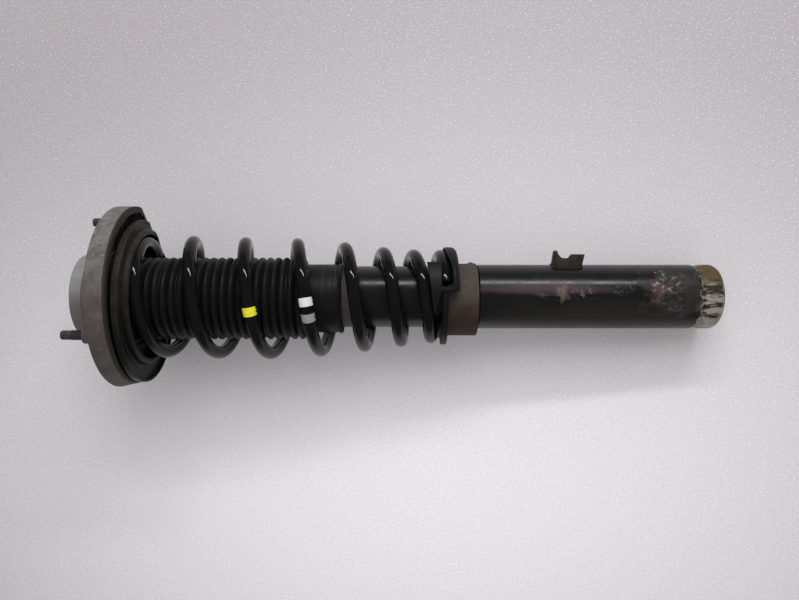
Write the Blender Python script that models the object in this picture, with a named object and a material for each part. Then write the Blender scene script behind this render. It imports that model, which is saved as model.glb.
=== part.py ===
"""Front suspension strut lying along +X: damper, coil spring, dust boot and top mount.

The origin is the centre of the foot's flat end. X runs up the strut to the top mount, Z is up.
Angles round the strut are counted from +Y towards +Z.
"""

import math

import bmesh
import bpy
from mathutils import Matrix

# Gaps
FIT = 0.0003
BEARING_GAP = 0.0004

# Damper tube and foot
TUBE_WALL = 0.00265
TUBE_SHOULDER = 0.00125
TUBE_LENGTH = 0.325
TUBE_LIP = 0.0022
TUBE_LIP_OVERHANG = 0.0051
WELD_GROOVE = 0.0012
WELD_GROOVE_LENGTH = 0.0035
FOOT_HEIGHT = 0.018
FOOT_ROUND = 0.006
FOOT_SPIGOT = 0.008

# Tube cap that meets the bump stop
CAP_SPIGOT = 0.0015
CAP_PLATE = 0.0022
CAP_ROUND = 0.0012
CAP_ROD_GAP = 0.002

# Damper inside
PISTON_ANNULUS = 0.005
PRESSURE_WALL = 0.0015
OIL_GAP = 0.0061
VALVE_PLATE = 0.0045
VALVE_PLUG = 0.008
VALVE_PORT = 0.0035
GUIDE_BODY = 0.013
GUIDE_SPIGOT = 0.006
GUIDE_BUSH_WALL = 0.0012
SEAL_THICKNESS = 0.0045
SEAL_GROOVE = 0.0015

# Piston rod
ROD_RADIUS = 0.011
ROD_STEM_STEP = 0.004
ROD_TAIL_STEP = 0.005
ROD_END_CHAMFER = 0.001
ROD_ABOVE_NUT = 0.0025
ROD_BELOW_NUT = 0.002
PISTON_LENGTH = 0.014
PISTON_BAND = 0.007
PISTON_BAND_WALL = 0.001
PISTON_NUT_HEIGHT = 0.008
PISTON_NUT_WALL = 0.0022
STOP_GAP = 0.0008
STOP_LENGTH = 0.006
STOP_TO_PISTON = 0.030
BUFFER_LENGTH = 0.005

# Lower spring collar
COLLAR_BASE = 0.2053
COLLAR_HEIGHT = 0.0195
COLLAR_WALL = 0.00185
COLLAR_OFFSET = 0.0026
COLLAR_CHAMFER = 0.0015
SEAT_RISE = 0.0067
SEAT_RISE_TURNS = 0.75

# Coil spring
WIRE_RADIUS = 0.0055
COIL_TURNS = 7.3
COIL_TIP_ANGLE = math.radians(108.0)
COIL_LOWER_GAP = 0.0032
FLARE_START_TURNS = 0.6
FLARE_TURNS = 4.3
END_PITCH = 0.012
LOWER_PITCH = 0.024
FULL_PITCH = 0.0443
LOWER_CLOSED_TURNS = 0.8
UPPER_CLOSED_TURNS = 0.45
OPEN_START_TURNS = 0.8
OPEN_TURNS = 4.0
COIL_BOW = 0.0014
BOW_START_TURNS = 0.7
BOW_TURNS = 1.5
COIL_LEAN = 0.05
LEAN_TURNS = 2.3
COIL_POINTS_PER_TURN = 24

# Spring pads
PAD_THICKNESS = 0.0025
PAD_LIP = 0.0006
PAD_EDGE = 0.0042
PAD_SHELF = 0.001
PAD_STOP_TURNS = 0.965
PAD_LUG_WALL = 0.0018
LOWER_PAD_TURNS = 0.78
LUG_TURNS = 0.22
LUG_FADE_TURNS = 0.1
LUG_DROP = 0.0045
LUG_COLLAR_GAP = 0.0016
PAD_FADE_TURNS = 0.14
LUG_WIRE_SHARE = 0.45
HOOK_GAP = 0.0009
HOOK_WALL = 0.0016
HOOK_BELOW_WIRE = 0.0084
HOOK_ARM_ABOVE_WIRE = 0.0031
HOOK_ARM = 0.012
HOOK_TOE = 0.004
HOOK_TOE_ANGLE = math.radians(76.0)
HOOK_START = math.radians(96.0)
HOOK_CORNER = math.radians(100.5)
HOOK_CORNER_TURN = math.radians(0.4)
HOOK_END = math.radians(131.0)
HOOK_SECTIONS = 6
UPPER_PAD_TURNS = 0.45
PAD_SECTIONS = 48

# Upper spring plate
PLATE_SHEET = 0.0022
PLATE_HUB_RADIUS = 0.029
PLATE_HUB_RISE = 0.0048
PLATE_CONE = 0.005
PLATE_RIM_GAP = 0.001
PLATE_CUP_DEPTH = 0.0089
PLATE_CUP_WALL = 0.005
PLATE_CUP_ROUND = 0.002
PLATE_FLANGE = 0.0172
PLATE_FLANGE_OFFSET = 0.003
PLATE_FLANGE_DEPTH = 0.0057

# Dust boot
BOOT_WALL = 0.0012
BOOT_CUFF = 0.031
BOOT_CUFF_BEAD = 0.001
BOOT_CUFF_STEP = 0.002
BOOT_STEP_OUT = 0.00595
BOOT_OFFSET = 0.0016
BOOT_RIB_DEPTH = 0.0039
BOOT_SPRING_GAP = 0.0064
BOOT_RIBS = 20
BOOT_HEAD = 0.0085
BOOT_CUFF_BELOW_CAP = 0.0262

# Bump stop
BUMP_WALL = 0.0097
BUMP_LENGTH = 0.056
BUMP_WAIST = 0.0035
BUMP_LOBES = 3
BUMP_TAPER = 0.004

# Top mount
SEAT_HEIGHT = 0.520
MOUNT_GAP = 0.0009
SKIRT_DEPTH = 0.0164
SKIRT_WALL = 0.0053
SKIRT_TAPER = 0.003
RIM_BELOW_SEAT = 0.0097
RIM_ROUND = 0.0015
CROWN_WALL = 0.0065
FLAT_DEPTH = 0.0156
FLAT_ANGLE = math.radians(216.5)
BOSS_WALL = 0.0045
BOSS_HEIGHT = 0.021
BOSS_LIP = 0.0035
BOSS_ROUND = 0.0025
BOSS_FLANGE = 0.004
BOSS_FLANGE_THICKNESS = 0.002
CROWN_LAND = 0.006
CROWN_NECK = 0.0105
CROWN_NECK_WALL = 0.0012
NUT_WELL = 0.0065
WELL_INSET = 0.0021
STUD_RADIUS = 0.004
STUD_EDGE = 0.0131
STUD_REACH = 0.018
STUD_HEAD_RADIUS = 0.0058
STUD_HEAD = 0.003
STUD_PAD_RADIUS = 0.0068
STUD_PAD_WALL = 0.009
STUD_PAD_BELOW_SEAT = 0.002
STUD_CHAMFER = 0.001
STUD_COUNT = 3
FIRST_STUD_ANGLE = math.radians(181.6)

# Mount bearing, bush and nut
BALL_RADIUS = 0.0035
BALL_CIRCLE = 0.0175
BALL_COUNT = 10
RACE_WIDTH = 0.012
RACE_SHOULDER = 0.0011
OUTER_RACE_WALL = 0.0028
CAGE_WALL = 0.0024
CAGE_RIM = 0.001
SLEEVE_WALL = 0.0016
SLEEVE_LIP = 0.002
SLEEVE_OVERHANG = 0.003
CIRCLIP = 0.0014
CIRCLIP_DEPTH = 0.0022
CIRCLIP_GROOVE = 0.0008
CIRCLIP_OPENING = math.radians(40.0)
BUSH_WALL = 0.0053
BUSH_WAIST = 0.002
SPACER_LENGTH = 0.0042
SPACER_WALL = 0.0035
NUT_WALL = 0.0037
NUT_HEIGHT = 0.007
WASHER_WALL = 0.0062
WASHER_THICKNESS = 0.002

# Hose bracket
BRACKET_CENTRE = 0.1265
BRACKET_WIDTH = 0.027
BRACKET_SHEET = 0.0025
BRACKET_FACE = 0.0145
BRACKET_RETURN = 0.010
BRACKET_BEND = 0.003
BRACKET_CURL = 0.0055
BRACKET_TIP_HEIGHT = 0.0116
BRACKET_SADDLE_HEIGHT = 0.0049
BRACKET_EAR_HEIGHT = 0.0082
BRACKET_TIP_WIDTH = 0.0045
BRACKET_EAR_RISE = 0.005
BRACKET_EAR_LEAN = 0.0025
BRACKET_WEB_SECTIONS = 12

# Facets
ROUND_STEPS = 32
MOUNT_STEPS = 40
INNER_STEPS = 20
BOOT_STEPS = 24
SMALL_STEPS = 12
SMOOTH_ANGLE = math.radians(35.0)

# Radii and places along the strut that follow from the sizes above
ROD_STEM = ROD_RADIUS - ROD_STEM_STEP
ROD_TAIL = ROD_RADIUS - ROD_TAIL_STEP
PRESSURE_BORE = ROD_RADIUS + PISTON_ANNULUS
PRESSURE_RADIUS = PRESSURE_BORE + PRESSURE_WALL
TUBE_BORE = PRESSURE_RADIUS + OIL_GAP
TUBE_LIP_BORE = TUBE_BORE - TUBE_LIP_OVERHANG
NECK_RADIUS = TUBE_BORE + TUBE_WALL
TUBE_RADIUS = NECK_RADIUS + TUBE_SHOULDER
TUBE_BASE = FOOT_HEIGHT + FIT
TUBE_TOP = TUBE_BASE + TUBE_LENGTH
SEAL_TOP = TUBE_TOP - TUBE_LIP - FIT
GUIDE_TOP = SEAL_TOP - SEAL_THICKNESS - FIT
GUIDE_SHOULDER = GUIDE_TOP - GUIDE_BODY
GUIDE_BOTTOM = GUIDE_SHOULDER - GUIDE_SPIGOT
VALVE_BASE = FOOT_HEIGHT + FOOT_SPIGOT + FIT
VALVE_SHOULDER = VALVE_BASE + VALVE_PLATE
BUFFER_TOP = GUIDE_BOTTOM - FIT
STOP_TOP = BUFFER_TOP - BUFFER_LENGTH - FIT
PISTON_TOP = STOP_TOP - STOP_LENGTH - STOP_TO_PISTON
PISTON_BOTTOM = PISTON_TOP - FIT - PISTON_LENGTH
CAP_TOP = TUBE_TOP + FIT + CAP_PLATE
RIM_TOP = SEAT_HEIGHT - RIM_BELOW_SEAT
RIM_BOTTOM = RIM_TOP - SKIRT_DEPTH
BOSS_TOP = SEAT_HEIGHT + BOSS_HEIGHT
CROWN_INSIDE = SEAT_HEIGHT - CROWN_WALL
BOSS_BASE = CROWN_INSIDE - FIT - BOSS_FLANGE_THICKNESS
ROD_END = BOSS_TOP - NUT_WELL
NUT_TOP = ROD_END - ROD_ABOVE_NUT
WASHER_TOP = NUT_TOP - NUT_HEIGHT - FIT
RACE_TOP = WASHER_TOP - WASHER_THICKNESS - FIT
RACE_BASE = RACE_TOP - RACE_WIDTH
RACE_MIDDLE = RACE_BASE + RACE_WIDTH / 2
SPACER_BASE = RACE_BASE - FIT - SPACER_LENGTH
HUB_TOP = SPACER_BASE - FIT
HUB_BASE = HUB_TOP - PLATE_SHEET
ROD_SHOULDER = HUB_BASE - FIT
PLATE_SEAT = HUB_BASE - PLATE_HUB_RISE
OUTER_RACE_RADIUS = BALL_CIRCLE + BALL_RADIUS + BEARING_GAP + OUTER_RACE_WALL
SLEEVE_RADIUS = OUTER_RACE_RADIUS + FIT + SLEEVE_WALL
BUSH_RADIUS = SLEEVE_RADIUS + FIT + BUSH_WALL
BOSS_RADIUS = BUSH_RADIUS + FIT + BOSS_WALL
WELL_RADIUS = SLEEVE_RADIUS - WELL_INSET
COLLAR_RADIUS = NECK_RADIUS + FIT + COLLAR_OFFSET + COLLAR_WALL
SEAT_START = COLLAR_BASE + COLLAR_HEIGHT
COIL_LOWER_RADIUS = NECK_RADIUS + COIL_LOWER_GAP + WIRE_RADIUS
COIL_BOTTOM = SEAT_START + 2 * FIT + PAD_THICKNESS + WIRE_RADIUS
LUG_INNER_RADIUS = COLLAR_RADIUS + COLLAR_OFFSET + LUG_COLLAR_GAP
HOOK_BASE = COIL_BOTTOM - HOOK_BELOW_WIRE
HOOK_ARM_BASE = COIL_BOTTOM + HOOK_ARM_ABOVE_WIRE
HOOK_TOP = HOOK_ARM_BASE + HOOK_ARM
COIL_TOP = PLATE_SEAT - 2 * FIT - PAD_THICKNESS - WIRE_RADIUS
CUFF_BORE = NECK_RADIUS + BOOT_OFFSET + FIT
BOOT_CREST = CUFF_BORE + BOOT_WALL + BOOT_STEP_OUT
BOOT_VALLEY = BOOT_CREST - BOOT_RIB_DEPTH
COIL_UPPER_RADIUS = BOOT_CREST + BOOT_SPRING_GAP + WIRE_RADIUS
PLATE_WALL_RADIUS = COIL_UPPER_RADIUS + WIRE_RADIUS + 2 * FIT
FLAT_DISTANCE = PLATE_WALL_RADIUS + PLATE_SHEET + MOUNT_GAP + SKIRT_WALL
MOUNT_RADIUS = FLAT_DISTANCE + FLAT_DEPTH
STUD_CIRCLE = MOUNT_RADIUS - STUD_EDGE
STUD_SEAT = SEAT_HEIGHT - STUD_PAD_BELOW_SEAT
BOOT_BASE = CAP_TOP - BOOT_CUFF_BELOW_CAP


def clear_scene():
    """Start from an empty scene."""
    for old in list(bpy.data.objects):
        bpy.data.objects.remove(old, do_unlink=True)


def finish(name, colour, roughness, metallic):
    """A plain surface finish with its own colour, roughness and metallic value."""
    made = bpy.data.materials.new(name)
    made.use_nodes = True
    shader = made.node_tree.nodes["Principled BSDF"]
    shader.inputs["Base Color"].default_value = (*colour, 1.0)
    shader.inputs["Roughness"].default_value = roughness
    shader.inputs["Metallic"].default_value = metallic
    return made


def body(name, parent=None):
    """An empty on the strut's axis that carries the pieces of one moving body."""
    carrier = bpy.data.objects.new(name, None)
    bpy.context.collection.objects.link(carrier)
    carrier.parent = parent
    return carrier


def add_piece(name, bm, surface, carrier):
    """Turn a finished bmesh into a named, smooth-shaded object on its body."""
    mesh = bpy.data.meshes.new(name)
    bm.to_mesh(mesh)
    bm.free()
    mesh.materials.append(surface)
    mesh.shade_smooth()
    mesh.set_sharp_from_angle(angle=SMOOTH_ANGLE)
    piece = bpy.data.objects.new(name, mesh)
    bpy.context.collection.objects.link(piece)
    piece.parent = carrier
    return piece


def combine(piece, bm, operation):
    """Cut a shape out of a piece, or join a shape to it, with a Boolean."""
    tool = add_piece(f"{piece.name}_{operation.lower()}", bm, piece.data.materials[0], None)
    tool.hide_render = True
    tool.display_type = "WIRE"
    change = piece.modifiers.new(tool.name, "BOOLEAN")
    change.operation = operation
    change.solver = "EXACT"
    change.object = tool


def arc(centre_x, centre_r, radius, start, end, points=4):
    """Points of a rounded corner in the turning plane, from one angle to another in degrees."""
    angles = [math.radians(start + (end - start) * i / (points - 1)) for i in range(points)]
    return [(centre_x + radius * math.cos(a), centre_r + radius * math.sin(a)) for a in angles]


def turned(outline, steps=ROUND_STEPS):
    """Spin an outline of (x, radius) points round the strut's axis.

    An outline that starts and ends on the axis makes a solid, any other one makes a ring.
    """
    bm = bmesh.new()
    points = [bm.verts.new((x, radius, 0.0)) for x, radius in outline]
    edges = [bm.edges.new(pair) for pair in zip(points, points[1:])]
    if outline[0][1] > 0.0:
        edges.append(bm.edges.new((points[-1], points[0])))
    bmesh.ops.spin(bm, geom=points + edges, axis=(1, 0, 0), cent=(0, 0, 0),
                   angle=2 * math.pi, steps=steps, use_merge=True)
    bmesh.ops.remove_doubles(bm, verts=bm.verts, dist=1e-6)
    bmesh.ops.recalc_face_normals(bm, faces=bm.faces)
    return bm


def plain_ring(start, end, inner, outer, steps=INNER_STEPS):
    """A ring of square section between two places on the axis."""
    return turned([(start, inner), (start, outer), (end, outer), (end, inner)], steps)


def rod_shape(start, end, radius, steps=SMALL_STEPS):
    """A plain round bar on the axis."""
    return turned([(start, 0.0), (start, radius), (end, radius), (end, 0.0)], steps)


def moved(bm, y, z):
    """Shift a shape sideways off the axis."""
    bmesh.ops.translate(bm, verts=bm.verts, vec=(0.0, y, z))
    return bm


def sliced(bm, distance, angle):
    """Cut a turned shape off flat at a distance from the axis, and close the cut."""
    normal = (0.0, math.cos(angle), math.sin(angle))
    point = (0.0, distance * normal[1], distance * normal[2])
    everything = list(bm.verts) + list(bm.edges) + list(bm.faces)
    cut = bmesh.ops.bisect_plane(bm, geom=everything, plane_co=point, plane_no=normal, clear_outer=True)
    rim = [item for item in cut["geom_cut"] if isinstance(item, bmesh.types.BMEdge)]
    bmesh.ops.edgeloop_fill(bm, edges=rim)
    bmesh.ops.recalc_face_normals(bm, faces=bm.faces)
    return bm


def lofted(sections, closed):
    """Join equal sections of 3-D points into one skin, round in a loop or capped at both ends."""
    bm = bmesh.new()
    rows = [[bm.verts.new(point) for point in section] for section in sections]
    count = len(rows[0])
    pairs = list(zip(rows, rows[1:]))
    if closed:
        pairs.append((rows[-1], rows[0]))
    for first, second in pairs:
        for i in range(count):
            j = (i + 1) % count
            bm.faces.new((first[i], first[j], second[j], second[i]))
    if not closed:
        bm.faces.new(rows[0])
        bm.faces.new(rows[-1])
    bmesh.ops.recalc_face_normals(bm, faces=bm.faces)
    return bm


def on_axis(x, radius, angle):
    """A point at a radius and an angle round the strut."""
    return (x, radius * math.cos(angle), radius * math.sin(angle))


def smooth(value):
    """Ease from 0 to 1."""
    value = min(1.0, max(0.0, value))
    return value * value * (3.0 - 2.0 * value)


def hexagon_nut(name, start, end, flats, bore, surface, carrier):
    """A hexagon nut with turned chamfers and a round bore."""
    corner = flats / math.sqrt(3.0)
    chamfer = corner - flats / 2
    nut = add_piece(name, rod_shape(start, end, corner, 6), surface, carrier)
    outline = [(start - FIT, bore), (start - FIT, flats / 2 - FIT), (start + chamfer, corner + FIT),
               (end - chamfer, corner + FIT), (end + FIT, flats / 2 - FIT), (end + FIT, bore)]
    combine(nut, turned(outline, INNER_STEPS), "INTERSECT")
    return nut


def coil_rise(turns):
    """How far the wire has climbed after some turns from its lower tip, before it is fitted."""
    def eased(start, length):
        """The area under one eased step up to here."""
        reach = min(1.0, max(0.0, (turns - start) / length))
        flat = max(0.0, turns - start - length)
        return length * (reach ** 3 - reach ** 4 / 2) + flat

    return (END_PITCH * turns
            + (LOWER_PITCH - END_PITCH) * eased(0.0, LOWER_CLOSED_TURNS)
            + (FULL_PITCH - LOWER_PITCH) * eased(OPEN_START_TURNS, OPEN_TURNS)
            - (FULL_PITCH - END_PITCH) * eased(COIL_TURNS - UPPER_CLOSED_TURNS, UPPER_CLOSED_TURNS))


def coil_point(turns):
    """The wire's centre after some turns from its lower tip: x, radius and angle."""
    share = coil_rise(turns) / coil_rise(COIL_TURNS)
    flare = smooth((turns - FLARE_START_TURNS) / FLARE_TURNS)
    radius = COIL_LOWER_RADIUS + (COIL_UPPER_RADIUS - COIL_LOWER_RADIUS) * flare
    angle = COIL_TIP_ANGLE + 2 * math.pi * turns
    lean = smooth(turns / BOW_START_TURNS) * (1.0 - smooth((turns - BOW_START_TURNS) / LEAN_TURNS))
    x = COIL_BOTTOM + (COIL_TOP - COIL_BOTTOM) * share - COIL_LEAN * lean * radius * math.cos(angle)
    return x, radius, angle


def coil_place(turns):
    """The wire's centre as a point, with the slight sideways bow of the spring's middle."""
    x, y, z = on_axis(*coil_point(turns))
    ends = smooth((turns - BOW_START_TURNS) / BOW_TURNS)
    ends *= smooth((COIL_TURNS - BOW_START_TURNS - turns) / BOW_TURNS)
    return x, y + COIL_BOW * ends, z


def print_coil_gap(points):
    """Measure the spring's least gap to itself on its points and print it."""
    half_turn = COIL_POINTS_PER_TURN // 2
    least = min(
        math.dist(points[i], points[j])
        for i in range(len(points))
        for j in range(i + half_turn, len(points))
    )
    print(f"coil_spring least gap to itself: {(least - 2 * WIRE_RADIUS) * 1000:.2f} mm")


def build_tube(surfaces, strut):
    """The damper's outer tube, its foot and its top cap."""
    groove = TUBE_RADIUS - WELD_GROOVE
    spigot = TUBE_BORE - FIT
    foot = [(0.0, 0.0)] + arc(FOOT_ROUND, TUBE_RADIUS - FOOT_ROUND, FOOT_ROUND, 180, 90, 5)
    foot += [(FOOT_HEIGHT - WELD_GROOVE_LENGTH, TUBE_RADIUS), (FOOT_HEIGHT, groove), (FOOT_HEIGHT, spigot),
             (FOOT_HEIGHT + FOOT_SPIGOT, spigot), (FOOT_HEIGHT + FOOT_SPIGOT, 0.0)]
    add_piece("foot_cap", turned(foot), surfaces["bare_steel"], strut)

    shoulder = COLLAR_BASE - FIT
    tube = [(TUBE_BASE, TUBE_BORE), (TUBE_BASE, groove), (TUBE_BASE + WELD_GROOVE_LENGTH, TUBE_RADIUS),
            (shoulder, TUBE_RADIUS), (shoulder, NECK_RADIUS),
            (TUBE_TOP - TUBE_LIP / 2, NECK_RADIUS), (TUBE_TOP, NECK_RADIUS - TUBE_LIP / 2),
            (TUBE_TOP, TUBE_LIP_BORE), (TUBE_TOP - TUBE_LIP, TUBE_LIP_BORE),
            (TUBE_TOP - TUBE_LIP, TUBE_BORE)]
    add_piece("strut_tube", turned(tube), surfaces["black_paint"], strut)

    hole = ROD_RADIUS + CAP_ROD_GAP
    plug = TUBE_LIP_BORE - FIT
    plug_base = TUBE_TOP - CAP_SPIGOT
    under = CAP_TOP - CAP_PLATE
    cap = [(plug_base, hole), (plug_base, plug), (under, plug), (under, NECK_RADIUS),
           (CAP_TOP - CAP_ROUND, NECK_RADIUS), (CAP_TOP, NECK_RADIUS - CAP_ROUND), (CAP_TOP, hole)]
    add_piece("tube_cap", turned(cap), surfaces["zinc"], strut)


def build_damper(surfaces, strut):
    """What the tube holds that stays with it: foot valve, pressure tube, guide, bush and seal."""
    steel = surfaces["bare_steel"]
    plug = PRESSURE_BORE - FIT
    plug_top = VALVE_SHOULDER + VALVE_PLUG
    valve = [(VALVE_BASE, VALVE_PORT), (VALVE_BASE, PRESSURE_RADIUS), (VALVE_SHOULDER, PRESSURE_RADIUS),
             (VALVE_SHOULDER, plug), (plug_top, plug), (plug_top, VALVE_PORT)]
    add_piece("foot_valve", turned(valve, INNER_STEPS), surfaces["brass"], strut)
    add_piece("pressure_tube", plain_ring(VALVE_SHOULDER + FIT, GUIDE_SHOULDER - FIT, PRESSURE_BORE,
                                          PRESSURE_RADIUS), steel, strut)

    bush_bore = ROD_RADIUS + FIT
    bush_radius = bush_bore + GUIDE_BUSH_WALL
    guide_bore = bush_radius + FIT
    guide_radius = TUBE_BORE - FIT
    guide = [(GUIDE_BOTTOM, guide_bore), (GUIDE_BOTTOM, plug), (GUIDE_SHOULDER, plug),
             (GUIDE_SHOULDER, guide_radius), (GUIDE_TOP, guide_radius), (GUIDE_TOP, guide_bore)]
    add_piece("rod_guide", turned(guide, INNER_STEPS), surfaces["aluminium"], strut)
    add_piece("guide_bush", plain_ring(GUIDE_BOTTOM, GUIDE_TOP, bush_bore, bush_radius),
              surfaces["brass"], strut)

    base = GUIDE_TOP + FIT
    middle = (bush_bore + guide_radius) / 2
    seal = [(base, bush_bore), (base, guide_radius), (SEAL_TOP, guide_radius),
            (SEAL_TOP, middle + SEAL_GROOVE), (SEAL_TOP - SEAL_GROOVE, middle),
            (SEAL_TOP, middle - SEAL_GROOVE), (SEAL_TOP, bush_bore)]
    add_piece("rod_seal", turned(seal, INNER_STEPS), surfaces["rubber"], strut)


def build_rod(surfaces, rod):
    """The piston rod with its piston, nut, rebound stop and buffer."""
    steel = surfaces["bare_steel"]
    nut_top = PISTON_BOTTOM - FIT
    nut_bottom = nut_top - PISTON_NUT_HEIGHT
    tail_end = nut_bottom - ROD_BELOW_NUT
    bar = [(tail_end, 0.0), (tail_end, ROD_TAIL), (PISTON_TOP, ROD_TAIL), (PISTON_TOP, ROD_RADIUS),
           (ROD_SHOULDER, ROD_RADIUS), (ROD_SHOULDER, ROD_STEM), (ROD_END - ROD_END_CHAMFER, ROD_STEM),
           (ROD_END, ROD_STEM - ROD_END_CHAMFER), (ROD_END, 0.0)]
    add_piece("piston_rod", turned(bar, INNER_STEPS), surfaces["chrome"], rod)

    bore = ROD_TAIL + FIT
    top = PISTON_TOP - FIT
    middle = (top + PISTON_BOTTOM) / 2
    band_radius = PRESSURE_BORE - FIT
    band_bore = band_radius - PISTON_BAND_WALL
    land = band_radius - FIT
    low = middle - PISTON_BAND / 2
    high = middle + PISTON_BAND / 2
    groove = band_bore - FIT
    piston = [(PISTON_BOTTOM, bore), (PISTON_BOTTOM, land), (low - FIT, land), (low - FIT, groove),
              (high + FIT, groove), (high + FIT, land), (top, land), (top, bore)]
    add_piece("piston", turned(piston, INNER_STEPS), steel, rod)
    add_piece("piston_ring", plain_ring(low, high, band_bore, band_radius), surfaces["plastic"], rod)
    hexagon_nut("piston_nut", nut_bottom, nut_top, 2 * (bore + PISTON_NUT_WALL), bore, steel, rod)

    sleeve = ROD_RADIUS + FIT
    stop_radius = PRESSURE_BORE - STOP_GAP
    add_piece("rebound_stop", plain_ring(STOP_TOP - STOP_LENGTH, STOP_TOP, sleeve, stop_radius), steel, rod)
    add_piece("rebound_buffer", plain_ring(STOP_TOP + FIT, BUFFER_TOP, sleeve, stop_radius),
              surfaces["rubber"], rod)


def seat_place(turns):
    """Where the collar's spring seat lies: a ramp that climbs with the wire from its tip."""
    return SEAT_START + SEAT_RISE * smooth(turns / SEAT_RISE_TURNS)


def build_collar(surfaces, strut):
    """The lower spring collar: an off-centre ring on the tube with a climbing seat."""
    inner = NECK_RADIUS + FIT
    sections = []
    for i in range(PAD_SECTIONS):
        turns = i / PAD_SECTIONS
        angle = COIL_TIP_ANGLE + 2 * math.pi * turns
        across = COLLAR_OFFSET * math.sin(angle)
        outer = COLLAR_OFFSET * math.cos(angle) + math.sqrt(COLLAR_RADIUS ** 2 - across ** 2)
        seat = seat_place(turns)
        profile = [(COLLAR_BASE, inner), (COLLAR_BASE, outer - COLLAR_CHAMFER),
                   (COLLAR_BASE + COLLAR_CHAMFER, outer), (seat, outer), (seat, inner)]
        sections.append([on_axis(x, radius, angle) for x, radius in profile])
    add_piece("lower_spring_collar", lofted(sections, True), surfaces["rusty_steel"], strut)


def build_lower_pad(surfaces, strut):
    """The lower rubber pad: a ring whose top follows the wire, with a rib and a hook round its tip."""
    inner = NECK_RADIUS + FIT
    sections = []
    for i in range(PAD_SECTIONS):
        turns = i / PAD_SECTIONS
        wire_x, wire_r, _ = coil_point(min(turns, LOWER_PAD_TURNS))
        lug = 1.0 - smooth((turns - LUG_TURNS) / LUG_FADE_TURNS)
        base = seat_place(turns) + FIT
        seat = wire_x - WIRE_RADIUS - FIT
        fall = smooth((turns - LOWER_PAD_TURNS) / PAD_FADE_TURNS)
        seat += (base + PAD_THICKNESS - seat) * fall
        edge = base + PAD_EDGE + (seat + WIRE_RADIUS * LUG_WIRE_SHARE - base - PAD_EDGE) * lug
        if turns > PAD_STOP_TURNS:
            lug = 1.0
            seat = COIL_BOTTOM + WIRE_RADIUS
            edge = seat + PAD_LIP
        wire_edge = wire_r + WIRE_RADIUS + FIT
        outer = wire_edge + PAD_LIP + (PAD_LUG_WALL - PAD_LIP) * lug
        lip = wire_r + PAD_SHELF + (wire_edge - wire_r - PAD_SHELF) * lug
        rib_base = base - PAD_LIP - LUG_DROP * lug
        profile = [(base, inner), (base, LUG_INNER_RADIUS), (rib_base, LUG_INNER_RADIUS),
                   (rib_base, outer), (edge, outer), (edge, lip), (seat, lip), (seat, inner)]
        angle = COIL_TIP_ANGLE + 2 * math.pi * turns
        sections.append([on_axis(x, radius, angle) for x, radius in profile])
    pad = add_piece("lower_spring_pad", lofted(sections, True), surfaces["rubber"], strut)

    hook_inner = COIL_LOWER_RADIUS + WIRE_RADIUS + HOOK_GAP
    hook_outer = hook_inner + HOOK_WALL
    arm_start = HOOK_CORNER + HOOK_CORNER_TURN
    hook = [(HOOK_TOE_ANGLE, HOOK_TOP - HOOK_TOE), (HOOK_START - HOOK_CORNER_TURN, HOOK_ARM_BASE),
            (HOOK_START, HOOK_BASE), (HOOK_CORNER, HOOK_BASE), (arm_start, HOOK_ARM_BASE)]
    for i in range(1, HOOK_SECTIONS + 1):
        hook.append((arm_start + (HOOK_END - arm_start) * i / HOOK_SECTIONS, HOOK_ARM_BASE))
    sections = []
    for angle, base in hook:
        profile = [(base, hook_inner), (base, hook_outer), (HOOK_TOP, hook_outer), (HOOK_TOP, hook_inner)]
        sections.append([on_axis(x, radius, angle) for x, radius in profile])
    combine(pad, lofted(sections, False), "UNION")


def build_upper_pad(surfaces, rod):
    """The upper rubber pad: a ring under the plate whose lower side follows the wire's last turn."""
    inner = COIL_UPPER_RADIUS - WIRE_RADIUS
    outer = PLATE_WALL_RADIUS - FIT
    top = PLATE_SEAT - FIT
    sections = []
    for i in range(PAD_SECTIONS):
        back = i / PAD_SECTIONS
        wire_x = coil_point(COIL_TURNS - min(back, UPPER_PAD_TURNS))[0]
        seat = wire_x + WIRE_RADIUS + FIT
        seat += (top - PAD_THICKNESS - seat) * smooth((back - UPPER_PAD_TURNS) / PAD_FADE_TURNS)
        angle = COIL_TIP_ANGLE + 2 * math.pi * (COIL_TURNS - back)
        profile = [(top, inner), (top, outer), (seat, outer), (seat, inner)]
        sections.append([on_axis(x, radius, angle) for x, radius in profile])
    add_piece("upper_spring_pad", lofted(sections, True), surfaces["rubber"], rod)


def build_spring(surfaces, strut):
    """The coil spring: one round wire that climbs from the lower pad to the upper one."""
    count = round(COIL_TURNS * COIL_POINTS_PER_TURN)
    points = [coil_place(COIL_TURNS * i / count) for i in range(count + 1)]
    curve = bpy.data.curves.new("coil_spring", "CURVE")
    curve.dimensions = "3D"
    curve.bevel_depth = WIRE_RADIUS
    curve.bevel_resolution = 1
    curve.use_fill_caps = True
    wire = curve.splines.new("POLY")
    wire.points.add(count)
    for slot, point in zip(wire.points, points):
        slot.co = (*point, 1.0)
    wire.use_smooth = True
    curve.materials.append(surfaces["gloss_black"])
    spring = bpy.data.objects.new("coil_spring", curve)
    bpy.context.collection.objects.link(spring)
    spring.parent = strut
    print_coil_gap(points)


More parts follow.
